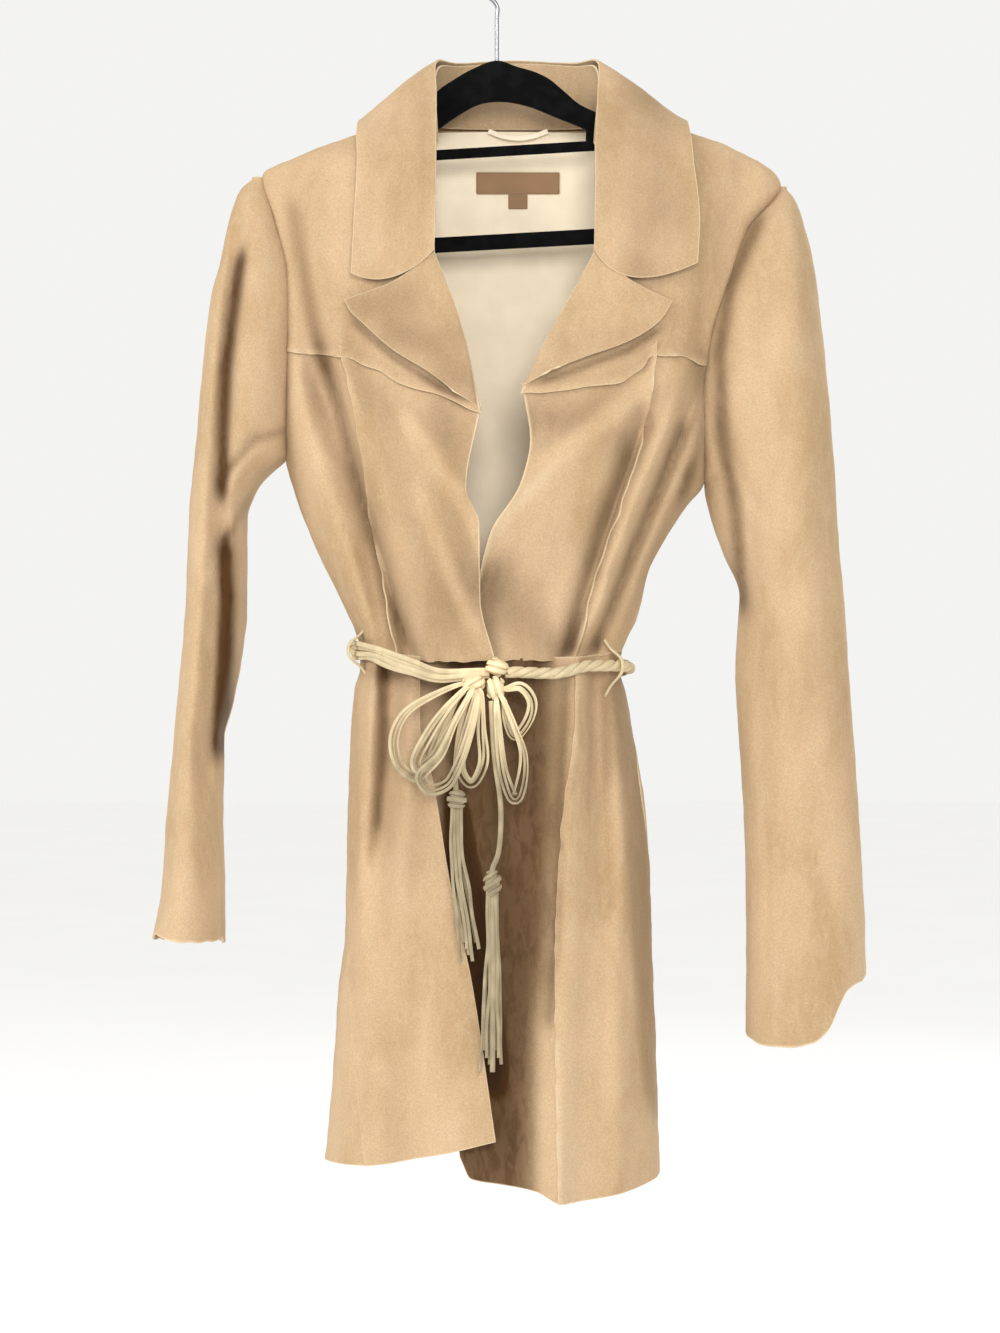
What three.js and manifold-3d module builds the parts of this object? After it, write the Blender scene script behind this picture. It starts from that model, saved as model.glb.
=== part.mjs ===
// A belted suede jacket with a notched collar, hung on a flocked hanger.
// Units are millimetres. +Z is up and the front faces -Y. The origin is the inner top of the hook.
// In names, r and l are the wearer's right and left, so r lies on the -X side.

import * as THREE from 'three';
import { mergeVertices } from 'three/addons/utils/BufferGeometryUtils.js';
import Module from 'manifold-3d';

const wasm = await Module();
wasm.setup();

// Driving dimensions
const SUEDE = 1.8;            // thickness of the suede
const LINING = 1;             // thickness of the lining
const SEAM_GAP = 0.4;         // distance between two pieces at a seam
const ROUNDNESS = 0.8;        // 1 gives elliptic sections, less gives squarer ones
const ARMHOLE_DEPTH = 27;     // half the front to back width of an armhole
const SIDE_GAP = 0.3;         // half the gap left between front and back at the side seam
const ARMHOLE = { r: { top: -188, bottom: -414 }, l: { top: -196, bottom: -431 } };

// Body sections: the outline seen from the front, x of each side at a height
const SIDE_R = [
  { z: -141, x: -48 }, { z: -146, x: -78 }, { z: -153, x: -106 }, { z: -170, x: -150 },
  { z: -188, x: -188 }, { z: -227, x: -178 }, { z: -271, x: -168 }, { z: -323, x: -167 },
  { z: -414, x: -169 }, { z: -441, x: -162 }, { z: -471, x: -151 }, { z: -498, x: -139 },
  { z: -520, x: -128 }, { z: -539, x: -119 }, { z: -556, x: -112 }, { z: -568, x: -109 },
  { z: -582, x: -109 }, { z: -600, x: -114 }, { z: -642, x: -117 }, { z: -697, x: -119 },
  { z: -794, x: -121 }, { z: -835, x: -126 }, { z: -890, x: -130 }, { z: -975, x: -137 },
];
const SIDE_L = [
  { z: -141, x: 80 }, { z: -146, x: 114 }, { z: -153, x: 150 }, { z: -166, x: 188 },
  { z: -196, x: 227 }, { z: -234, x: 200 }, { z: -271, x: 186 }, { z: -329, x: 169 },
  { z: -367, x: 165 }, { z: -431, x: 166 }, { z: -455, x: 150 }, { z: -482, x: 133 },
  { z: -509, x: 120 }, { z: -523, x: 117 }, { z: -543, x: 112 }, { z: -558, x: 104 },
  { z: -568, x: 100 }, { z: -582, x: 98 }, { z: -602, x: 103 }, { z: -642, x: 110 },
  { z: -687, x: 118 }, { z: -744, x: 122 }, { z: -811, x: 124 }, { z: -896, x: 127 },
  { z: -999, x: 130 },
];
// Body sections: how far front and back stand from the middle plane at a height
const DEPTH = [
  { z: -141, front: 10, back: 34 }, { z: -150, front: 20, back: 37 },
  { z: -165, front: 29, back: 40 }, { z: -190, front: 38, back: 42 },
  { z: -215, front: 44, back: 43 }, { z: -260, front: 50, back: 44 },
  { z: -330, front: 58, back: 46 }, { z: -385, front: 62, back: 46 },
  { z: -440, front: 64, back: 45 }, { z: -500, front: 62, back: 42 },
  { z: -570, front: 56, back: 38 }, { z: -640, front: 62, back: 44 },
  { z: -800, front: 72, back: 58 }, { z: -1000, front: 80, back: 66 },
];

// Largest folds of the fronts: a line of points, its rise (valleys are below 0), half width
const FRONT_FOLDS = [
  { line: [[-180, -200], [-160, -290], [-137, -365]], rise: -5, width: 12 },
  { line: [[-137, -362], [-106, -450], [-74, -566]], rise: -16, width: 11 },
  { line: [[-152, -385], [-128, -470], [-97, -556]], rise: 7, width: 13 },
  { line: [[-112, -370], [-84, -450], [-52, -545]], rise: 5, width: 15 },
  { line: [[114, -395], [92, -455], [60, -566]], rise: -12, width: 10 },
  { line: [[158, -365], [125, -440], [78, -566]], rise: -10, width: 9 },
  { line: [[138, -385], [108, -450], [70, -550]], rise: 7, width: 9 },
  { line: [[138, -365], [50, -416], [-4, -476]], rise: 8, width: 17 },
  { line: [[195, -190], [185, -240], [160, -335]], rise: -5, width: 10 },
];
// The wearer's right front laps over the left one
const OVERLAP_FOLD = { line: [[-13, -400], [-16, -500], [-8, -572]], rise: 4, width: 22 };
const UNDERLAP_FOLD = { line: [[18, -440], [-18, -529], [-29, -572]], rise: -9, width: 22 };
const SKIRT_R_FOLDS = [
  { line: [[-80, -576], [-84, -640], [-92, -720]], rise: -13, width: 9 },
  { line: [[-68, -576], [-70, -660], [-80, -800]], rise: 7, width: 12 },
  { line: [[-104, -590], [-108, -800], [-92, -960]], rise: 6, width: 16 },
  { line: [[-30, -800], [-10, -900], [0, -960]], rise: 4, width: 30 },
];
const SKIRT_L_FOLDS = [
  { line: [[-30, -600], [-12, -780], [-2, -990]], rise: -15, width: 30 },
  { line: [[66, -580], [58, -680], [49, -990]], rise: 8, width: 12 },
  { line: [[78, -580], [80, -660], [84, -760]], rise: -9, width: 9 },
  { line: [[96, -590], [98, -760], [94, -990]], rise: 6, width: 14 },
];
const BACK_FOLDS = [
  { line: [[-70, -470], [-58, -570], [-66, -720]], rise: -8, width: 16 },
  { line: [[70, -460], [56, -570], [70, -740]], rise: -8, width: 16 },
  { line: [[0, -540], [4, -700], [0, -980]], rise: 6, width: 26 },
];

// Seams and edges seen from the front, as x and z
const YOKE_SEAM_R = [[-167, -328], [-134, -332], [-106, -339], [-74, -356], [-49, -364], [-32, -370], [-13, -381]];
const YOKE_SEAM_L = [[20, -364], [45, -362], [74, -358], [99, -354], [113, -344], [122, -334], [142, -333], [169, -340]];
const NECK_EDGE_R = [[-86, -153], [-62, -172], [-51, -202], [-49, -254], [-34, -294], [-22, -336], [-13, -381]];
const NECK_EDGE_L = [[118, -153], [92, -172], [79, -202], [76, -254], [56, -294], [37, -328], [20, -364]];
const FRONT_EDGE_R = [[-13, -381], [-24, -442], [-14, -469], [-13, -529], [-2, -573]];
const FRONT_EDGE_L = [[20, -364], [26, -403], [18, -438], [-6, -478], [-18, -529], [-29, -573]];
const PRINCESS_R = [[-119, -335], [-110, -372], [-102, -424], [-99, -462], [-87, -514], [-76, -570]];
const PRINCESS_L = [[122, -334], [118, -368], [111, -404], [96, -449], [73, -516], [58, -573]];
const UPPER_PRINCESS_R = [[-96, -153], [-125, -200], [-124, -270]];
const UPPER_PRINCESS_L = [[136, -153], [150, -200], [140, -270]];
const WAIST_R = [[-110, -564], [-76, -570], [-45, -574], [-2, -573]];
const WAIST_L = [[-29, -573], [16, -573], [58, -573], [78, -570], [101, -567]];
const SKIRT_TOP_R = [[-109, -564.8], [-76, -570.8], [-60, -573]];
const SKIRT_TOP_L = [[-35, -573.6], [16, -573.6], [64, -573], [101, -567.6]];
const SKIRT_EDGE_R = [[-60, -573], [-60, -622], [-49, -674], [-37, -745], [-19, -828], [-1, -948]];
const SKIRT_EDGE_L = [[-35, -573.6], [-35, -685], [-32, -826], [-27, -965]];
const SKIRT_SIDE_R = [[-109, -564.8], [-116, -640], [-118, -790], [-110, -882], [-101, -969]];
const SKIRT_SIDE_L = [[101, -567.6], [110, -642], [122, -744], [127, -896], [130, -984]];
const SKIRT_SEAM_L = [[64, -573], [64, -615], [53, -707], [48, -818], [50, -996]];
const HEM_R = [[-101, -969], [-60, -962], [-1, -948]];
const HEM_L = [[-27, -965], [-20, -979], [31, -988], [50, -996], [101, -990], [130, -984]];

// Sleeve sections: inner and outer x and half the front to back width at a height; middle is y
const SLEEVE_R = [
  { z: -192, inner: -188, outer: -196, depth: 8, middle: 0 },
  { z: -198, inner: -187, outer: -203, depth: 13, middle: 0 },
  { z: -207, inner: -184, outer: -208, depth: 21, middle: 0 },
  { z: -222, inner: -180, outer: -213, depth: 30, middle: 0 },
  { z: -240, inner: -175, outer: -217, depth: 37, middle: 0 },
  { z: -259, inner: -170, outer: -221, depth: 42, middle: 0 },
  { z: -287, inner: -168, outer: -228, depth: 48, middle: 0 },
  { z: -351, inner: -167, outer: -236, depth: 54, middle: 0 },
  { z: -414, inner: -169, outer: -241, depth: 56, middle: 0 },
  { z: -424, inner: -180, outer: -242, depth: 56, middle: 0 },
  { z: -436, inner: -191, outer: -243, depth: 56, middle: 0 },
  { z: -461, inner: -200, outer: -245, depth: 55, middle: 1 },
  { z: -536, inner: -201, outer: -249, depth: 52, middle: 6 },
  { z: -577, inner: -206, outer: -252, depth: 51, middle: 6 },
  { z: -610, inner: -212, outer: -255, depth: 51, middle: 4 },
  { z: -639, inner: -219, outer: -257, depth: 51, middle: 0 },
  { z: -699, inner: -219, outer: -262, depth: 54, middle: -7 },
  { z: -750, inner: -217, outer: -265, depth: 58, middle: -12 },
  { z: -803, inner: -217, outer: -274, depth: 62, middle: -16 },
];
const SLEEVE_L = [
  { z: -200, inner: 224, outer: 232, depth: 8, middle: 0 },
  { z: -206, inner: 219, outer: 237, depth: 14, middle: 0 },
  { z: -215, inner: 213, outer: 241, depth: 22, middle: 0 },
  { z: -231, inner: 202, outer: 245.5, depth: 32, middle: 0 },
  { z: -255, inner: 191, outer: 252, depth: 38, middle: 0 },
  { z: -327, inner: 169, outer: 261, depth: 46, middle: 0 },
  { z: -376, inner: 165, outer: 266, depth: 48, middle: 0 },
  { z: -431, inner: 166, outer: 270, depth: 48, middle: 0 },
  { z: -468, inner: 173, outer: 272, depth: 46, middle: 0 },
  { z: -492, inner: 182, outer: 274, depth: 44, middle: 1 },
  { z: -523, inner: 194, outer: 277, depth: 42, middle: 2 },
  { z: -579, inner: 191, outer: 281, depth: 40, middle: 2 },
  { z: -654, inner: 195, outer: 286, depth: 40, middle: 0 },
  { z: -737, inner: 198, outer: 291, depth: 43, middle: -4 },
  { z: -802, inner: 199, outer: 293, depth: 47, middle: -8 },
  { z: -880, inner: 198, outer: 293, depth: 52, middle: -12 },
];
const SLEEVE_R_FOLDS = [
  { line: [[-206, -235], [-218, -420], [-217, -489], [-224, -560], [-228, -660]], rise: -13, width: 8 },
];
const SLEEVE_L_FOLDS = [
  { line: [[176, -400], [197, -450], [200, -520]], rise: -12, width: 9 },
  { line: [[232, -240], [240, -420], [236, -560]], rise: 5, width: 18 },
];
// Height of the cuff's edge round the sleeve, by the turn from the inner seam in degrees
const CUFF_R = [
  { turn: 0, z: -800 }, { turn: 90, z: -803 }, { turn: 180, z: -797 },
  { turn: 215, z: -790 }, { turn: 270, z: -794 }, { turn: 360, z: -796 },
];
const CUFF_L = [
  { turn: 0, z: -873 }, { turn: 60, z: -876 }, { turn: 100, z: -870 }, { turn: 130, z: -862 },
  { turn: 152, z: -849 }, { turn: 166, z: -830 }, { turn: 180, z: -821 }, { turn: 225, z: -838 },
  { turn: 280, z: -862 }, { turn: 360, z: -873 },
];

// Collar sections from the wearer's right round the back to the left
const FALL = [
  { roll: [-49, -54, -255], middle: [-82, -56, -276.5], edge: [-114, -54, -273] },
  { roll: [-48, -47, -210], middle: [-80, -49, -226], edge: [-112, -47, -228] },
  { roll: [-48, -31, -160], middle: [-80, -37, -176], edge: [-110, -37, -184] },
  { roll: [-48, -14, -124], middle: [-80, -19, -144], edge: [-111, -21, -158] },
  { roll: [-48, 4, -97], middle: [-80, 4, -119], edge: [-108, 4, -144] },
  { roll: [-30, 37, -91], middle: [-50, 46, -120], edge: [-78, 54, -160] },
  { roll: [16, 46, -87], middle: [16, 53, -115], edge: [16, 57, -166] },
  { roll: [62, 37, -91], middle: [86, 46, -120], edge: [118, 54, -160] },
  { roll: [80, 4, -97], middle: [116, 4, -119], edge: [149, 4, -144] },
  { roll: [80, -14, -124], middle: [116, -20, -144], edge: [153, -24, -159] },
  { roll: [78, -31, -160], middle: [115, -37, -176], edge: [155, -37, -184] },
  { roll: [77, -47, -210], middle: [116, -49, -228], edge: [159, -47, -226] },
  { roll: [76, -54, -255], middle: [107, -56, -276.5], edge: [157, -54, -265] },
];
const STAND = [
  { base: [-57, -27, -186], top: [-46.5, -24, -166] },
  { base: [-84, -8, -146.5], top: [-47, 3, -103] },
  { base: [-38, 31, -144.5], top: [-29, 33, -94] },
  { base: [16, 37.5, -144.5], top: [16, 42, -90] },
  { base: [70, 31, -144.5], top: [61, 33, -94] },
  { base: [117, -8, -146.5], top: [79, 3, -103] },
  { base: [86, -27, -186], top: [76.5, -24, -166] },
];
const LAPEL_R = {
  top: [[-119, -294], [-82, -280], [-49, -256]],
  outer: [[-119, -294], [-115, -302], [-105, -312], [-82, -333], [-52, -352], [-33, -366]],
  roll: [[-49, -256], [-34, -294], [-22, -336], [-15, -378]],
};
const LAPEL_L = {
  top: [[76, -256], [107, -280], [137, -295]],
  outer: [[137, -295], [130, -307], [122, -315], [102, -327], [64, -341], [42, -349]],
  roll: [[76, -256], [56, -294], [37, -328], [21, -361]],
};
const LAPEL_LIFT = { roll: 1.4, outer: 6 };

// Hanger
const HANGER = {
  thick: 7, seat: 3.2, tipR: -171, tipL: 206, tipDepth: 20, hookWire: 3.6, hookRadius: 21,
  middle: 16, shoulderRow: 4, archR: -100, archL: 134, underR: [-120, -196], underL: [150, -192],
  archTop: [[-88, -156], [-62, -141], [-48, -121], [-34, -111], [-20, -103], [0, -96],
    [16, -101], [30, -105], [42, -111], [54, -121], [66, -131], [83, -139], [120, -155]],
  archUnder: [[84, -158], [72, -152], [66, -149], [46, -141], [26, -133], [6, -129],
    [-14, -131], [-34, -142], [-48, -152], [-72, -172]],
};
const TIE_BAR = { from: [-64, -172.5], to: [78, -164], thick: 6, tall: 8, leg: 7 };
const TROUSER_BAR = { from: [-144, -249], to: [160, -232], thick: 7, tall: 12, leg: 11 };
const BAR_JOINT = 0.4;           // gap between a bar's ends and the arms that hold it

// Belt and laces
const BELT = { radius: 4.6, atSide: 8, atFront: 9, slack: 4 };
const BELT_HEIGHT = [
  { turn: -90, z: -565 }, { turn: -50, z: -571 }, { turn: -30, z: -580 }, { turn: -14, z: -588 },
  { turn: 4, z: -585 }, { turn: 20, z: -586 }, { turn: 40, z: -580 }, { turn: 60, z: -580 },
  { turn: 90, z: -582 }, { turn: 180, z: -578 }, { turn: 270, z: -565 },
];
const LACE_RADIUS = 2.1;
const CARRIER_RADIUS = 1.3;
const CARRIERS = { belt_loop_r: { turn: -68, above: 20, below: 20 }, belt_loop_l: { turn: 58, above: 20, below: 24 } };
const CARRIER_ENDS = { above: -1.5, below: -2.6 };  // the ends sink towards the cloth
const CARRIER_SLOPE = 3;
const BELT_PARTING = 0.22;       // degrees between two runs of the belt
const KNOTS = [
  { name: 'knot_top', at: [0, -76, -581], size: [8.6, 7.4, 7.2] },
  { name: 'knot_left', at: [-18, -78, -593.5], size: [9, 7.4, 6.6] },
  { name: 'knot_right', at: [-1, -79, -597.5], size: [7.9, 7.4, 9.4] },
];
const BOW_LOOPS = [
  { name: 'bow_loop_1', line: [[-27.7, -79, -594], [-46, -80, -601], [-70, -79, -616], [-80, -77, -634],
    [-80, -76, -651], [-74, -76, -662], [-62, -77, -668], [-54, -78, -660], [-42, -80, -630], [-30.5, -80.5, -606]] },
  { name: 'bow_loop_2', line: [[-23.3, -84.9, -596.6], [-40, -86, -614], [-54, -85, -634], [-64, -84, -655],
    [-61, -84, -661], [-50, -84, -655], [-36, -86, -630], [-22, -86.5, -603.5]] },
  { name: 'bow_loop_3', line: [[-19, -91, -599], [-32, -91, -623], [-44, -90, -648], [-60, -88, -666],
    [-52, -88, -677], [-38, -88, -673], [-30, -89, -660], [-20, -90.5, -630], [-15, -89, -603]] },
  { name: 'bow_loop_4', line: [[-12.4, -84.4, -600], [-12, -85.8, -630], [-12, -84.6, -656], [-20, -83, -670],
    [-27, -83, -660], [-24, -84.4, -636], [-17, -84.4, -603.5]] },
  { name: 'bow_loop_5', line: [[7.5, -80, -598], [18, -80, -597], [26, -80, -608], [24, -80, -622],
    [14, -80, -634], [8, -79, -622], [5.5, -77, -607]] },
  { name: 'bow_loop_6', line: [[3.1, -85.3, -603.6], [14, -87, -630], [20, -87, -648], [19, -87, -668],
    [14, -87, -682], [6, -87, -664], [0, -87, -608.5]] },
];
const TAILS = [
  { name: 'lace_tail_r', line: [[-21, -75, -600.5], [-29, -77, -630], [-32, -80, -660], [-31.6, -84, -675.2]] },
  { name: 'lace_tail_l', line: [[-4.5, -79, -607.2], [-2, -80.5, -650], [3, -82, -690], [1, -85, -725],
    [-3.3, -87, -736.6]] },
];
const TASSELS = [
  { name: 'tassel_r', knot: [-31, -84, -683.5], size: [7.4, 6.5, 8], top: -690, length: 118, lean: 10, strands: 7, spread: 7 },
  { name: 'tassel_l', knot: [-3.5, -87, -748], size: [7, 6.5, 11], top: -757, length: 136, lean: -1, strands: 8, spread: 8 },
];
const STRAND = { half: 1.5, flat: 0.6, apart: 1.6, rootWide: 3.4, neckWide: 4.2, shorter: 0.12 };

const ARMHOLE_SEAM = 1.5;        // gap between the sleeve and the body at the armhole
const MIN_SLEEVE_HALF = 3;
const SLEEVE_ROUNDNESS = 0.85;
const SLEEVE_TOP_CROWDING = 1.4; // rows lie closer together at the shoulder
const SLEEVE_TOP = { r: -191.5, l: -199.5 };
const SLEEVE_TOP_THICK = { first: 0.5, step: 0.9 };  // thinner in the narrow rows at the shoulder
const LINING_CLEARANCE = 0.5;
const LINING_COLUMNS = [2, 12];
const LINING_SEAM_ROW = 5;       // the lining's cross seam runs along this row of the back
const LABEL = { x: 17, z: -188, wide: 67, tall: 17, thick: 0.7, lift: 0.9 };
const SIZE_TAG = { x: 17, z: -203, wide: 15, tall: 11, thick: 0.6, lift: 0.8 };
const HANG_LOOP = [[-7, 30.5, -147], [4, 30, -151], [17, 29.5, -153], [30, 30, -151], [41, 30.5, -147]];

// Smooth curve through named rows, with no overshoot
function smooth(keys, values) {
  const steps = keys.slice(1).map((key, i) => key - keys[i]);
  const slopes = steps.map((step, i) => (values[i + 1] - values[i]) / step);
  const tangents = values.map((_, i) => {
    if (i === 0) return slopes[0];
    if (i === slopes.length) return slopes[i - 1];
    const [before, after] = [slopes[i - 1], slopes[i]];
    return before * after <= 0 ? 0 : (2 * before * after) / (before + after);
  });
  return (at) => {
    const found = steps.findIndex((_, i) => at <= keys[i + 1]);
    const i = found < 0 ? steps.length - 1 : found;
    const t = THREE.MathUtils.clamp((at - keys[i]) / steps[i], 0, 1);
    const bend = tangents[i] * steps[i] * (t ** 3 - 2 * t ** 2 + t)
      + tangents[i + 1] * steps[i] * (t ** 3 - t ** 2);
    return THREE.MathUtils.lerp(values[i], values[i + 1], t * t * (3 - 2 * t)) + bend;
  };
}

// Column of a table as a smooth function of the height z
function byHeight(rows, column) {
  const drop = smooth(rows.map((row) => -row.z), rows.map((row) => row[column]));
  return (z) => drop(-z);
}

// Smooth line through points, from 0 at its start to 1 at its end
function track(points) {
  const lengths = [0];
  points.slice(1).forEach((point, i) => {
    lengths.push(lengths[i] + Math.hypot(...point.map((value, k) => value - points[i][k])));
  });
  const columns = points[0].map((_, k) => smooth(lengths, points.map((point) => point[k])));
  return (t) => columns.map((column) => column(t * lengths.at(-1)));
}

const part = (from, to, count) => Array.from({ length: count + 1 }, (_, i) => from + ((to - from) * i) / count);
const sideR = byHeight(SIDE_R, 'x');
const sideL = byHeight(SIDE_L, 'x');
const depthOf = { front: byHeight(DEPTH, 'front'), back: byHeight(DEPTH, 'back') };

// Half the width of the armhole, front to back, at a height
function opening(side, z) {
  const { top, bottom } = ARMHOLE[side];
  const along = THREE.MathUtils.clamp((top - z) / (top - bottom), 0, 1);
  return SIDE_GAP + ARMHOLE_DEPTH * Math.sin(Math.PI * along) ** 0.7;
}

// Turn round the body at x, z on the front: -90 degrees at the -X side, 0 in front, 90 at the +X side
function turnAt(x, z) {
  const middle = (sideR(z) + sideL(z)) / 2;
  const half = (sideL(z) - sideR(z)) / 2;
  const n = THREE.MathUtils.clamp((x - middle) / half, -1, 1);
  return Math.sign(n) * Math.asin(Math.abs(n) ** (1 / ROUNDNESS));
}

// Height of the folds at x, z
function foldRise(folds, x, z) {
  return folds.reduce((sum, { line, rise, width }) => {
    const gaps = line.slice(1).map((b, i) => {
      const a = line[i];
      const [dx, dz] = [b[0] - a[0], b[1] - a[1]];
      const t = THREE.MathUtils.clamp(((x - a[0]) * dx + (z - a[1]) * dz) / (dx * dx + dz * dz), 0, 1);
      return Math.hypot(x - a[0] - t * dx, z - a[1] - t * dz);
    });
    return sum + rise * Math.exp(-((Math.min(...gaps) / width) ** 2));
  }, 0);
}

// Point of the body's outer surface; face is -1 for a front piece and 1 for a back piece
function bodyPoint(turn, z, face, folds = [], lift = 0) {
  const [sin, cos] = [Math.sin(turn), Math.cos(turn)];
  const middle = (sideR(z) + sideL(z)) / 2;
  const half = (sideL(z) - sideR(z)) / 2;
  const x = middle + half * Math.sign(sin) * Math.abs(sin) ** ROUNDNESS;
  const facing = Math.abs(cos) < 1e-6 ? face : -Math.sign(cos);
  const depth = depthOf[facing < 0 ? 'front' : 'back'](z);
  const gap = Math.min(opening(sin < 0 ? 'r' : 'l', z), depth);
  const rise = foldRise(folds, x, z) * Math.min(1, 2 * Math.abs(cos)) + lift;
  return new THREE.Vector3(x, facing * (gap + (depth - gap) * Math.abs(cos) ** ROUNDNESS + rise), z);
}

const onFront = (x, z, folds, lift) => bodyPoint(turnAt(x, z), z, -1, folds, lift);

// Patch between four edges that meet at its corners; each edge gives pairs of numbers
function patch(top, bottom, left, right, us, vs) {
  const corners = [top(0), top(1), bottom(0), bottom(1)];
  return vs.map((v) => us.map((u) => [0, 1].map((k) => (1 - v) * top(u)[k] + v * bottom(u)[k]
    + (1 - u) * left(v)[k] + u * right(v)[k]
    - (1 - v) * ((1 - u) * corners[0][k] + u * corners[1][k])
    - v * ((1 - u) * corners[2][k] + u * corners[3][k]))));
}

// Edge drawn in x and z as turn and height
function seam(points, from = 0, to = 1) {
  const line = track(points);
  return (t) => {
    const [x, z] = line(from + (to - from) * t);
    return [turnAt(x, z), z];
  };
}

// Edge along a side of the body between two heights, evenly spaced along the outline
function sideEdge(side, top, bottom) {
  const xAt = side === 'r' ? sideR : sideL;
  const line = track(part(top, bottom, 40).map((z) => [xAt(z), z]));
  const turn = side === 'r' ? -Math.PI / 2 : Math.PI / 2;
  return (t) => [turn, line(t)[1]];
}

// Outer and inner points of a sheet of cloth; the inner ones lie along the normals
function cloth(outer, thick, inward = 1, flatColumns = []) {
  const normals = outer.map((row) => row.map(() => new THREE.Vector3()));
  for (let i = 0; i + 1 < outer.length; i += 1) {
    for (let j = 0; j + 1 < outer[0].length; j += 1) {
      const down = outer[i + 1][j + 1].clone().sub(outer[i][j]);
      const across = outer[i][j + 1].clone().sub(outer[i + 1][j]);
      const normal = down.cross(across);
      [[i, j], [i + 1, j], [i, j + 1], [i + 1, j + 1]].forEach(([a, b]) => normals[a][b].add(normal));
    }
  }
  flatColumns.forEach((column) => normals.forEach((row) => row.at(column).setY(0)));
  const inner = outer.map((row, i) => row.map((point, j) => {
    const depth = typeof thick === 'function' ? thick(i, j) : thick;
    return point.clone().addScaledVector(normals[i][j].normalize(), -depth * inward);
  }));
  return { outer, inner };
}

// Closed piece cut from a sheet between two rows and two columns, drawn in by half a seam gap
function cut({ outer, inner }, rows = [0, outer.length - 1], columns = [0, outer[0].length - 1]) {
  const layers = [outer, inner].map((layer) => {
    const piece = layer.slice(rows[0], rows[1] + 1).map((row) => row.slice(columns[0], columns[1] + 1));
    const drawIn = (point, next) => point.clone().add(next.clone().sub(point).setLength(SEAM_GAP / 2));
    const narrow = piece.map((row) => row.map((point, j) => {
      if (j === 0) return drawIn(point, row[1]);
      return j === row.length - 1 ? drawIn(point, row[j - 1]) : point;
    }));
    return narrow.map((row, i) => row.map((point, j) => {
      if (i === 0) return drawIn(point, narrow[1][j]);
      return i === narrow.length - 1 ? drawIn(point, narrow[i - 1][j]) : point;
    }));
  });
  return closedSheet(layers[0], layers[1]);
}

// Body bounded by two sheets of points and the strips between their edges
function closedSheet(outer, inner) {
  const [height, width] = [outer.length, outer[0].length];
  const id = (layer, i, j) => layer * height * width + i * width + j;
  const faces = [];
  const quad = (a, b, c, d) => faces.push(a, b, c, a, c, d);
  for (let i = 0; i + 1 < height; i += 1) {
    for (let j = 0; j + 1 < width; j += 1) {
      quad(id(0, i, j), id(0, i + 1, j), id(0, i + 1, j + 1), id(0, i, j + 1));
      quad(id(1, i, j), id(1, i, j + 1), id(1, i + 1, j + 1), id(1, i + 1, j));
    }
  }
  for (let j = 0; j + 1 < width; j += 1) {
    quad(id(0, 0, j), id(0, 0, j + 1), id(1, 0, j + 1), id(1, 0, j));
    quad(id(0, height - 1, j + 1), id(0, height - 1, j), id(1, height - 1, j), id(1, height - 1, j + 1));
  }
  for (let i = 0; i + 1 < height; i += 1) {
    quad(id(0, i + 1, 0), id(0, i, 0), id(1, i, 0), id(1, i + 1, 0));
    quad(id(0, i, width - 1), id(0, i + 1, width - 1), id(1, i + 1, width - 1), id(1, i, width - 1));
  }
  const points = [...outer.flat(), ...inner.flat()];
  const volume = part(0, faces.length / 3 - 1, faces.length / 3 - 1).reduce((sum, k) => {
    const [a, b, c] = [0, 1, 2].map((corner) => points[faces[3 * k + corner]]);
    return sum + a.dot(b.clone().cross(c));
  }, 0);
  const geometry = new THREE.BufferGeometry().setFromPoints(points);
  geometry.setIndex(volume < 0 ? faces.reverse() : faces);
  geometry.computeVertexNormals();
  return geometry;
}

// Finishes
const finish = (color, roughness, metalness = 0) => new THREE.MeshStandardMaterial({ color, roughness, metalness });
const SUEDE_FINISH = finish('#d0b084', 0.95);
const LACE_FINISH = finish('#e1d2b4', 0.9);
const LINING_FINISH = finish('#e4d4b4', 0.7);
const LABEL_FINISH = finish('#be916e', 0.8);
const FLOCK_FINISH = finish('#101010', 1);
const METAL_FINISH = finish('#b8b8b8', 0.3, 1);

const jacket = new THREE.Group();
function add(name, geometry, material) {
  const mesh = new THREE.Mesh(geometry, material.clone());
  mesh.name = name;
  jacket.add(mesh);
  return mesh;
}

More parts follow.
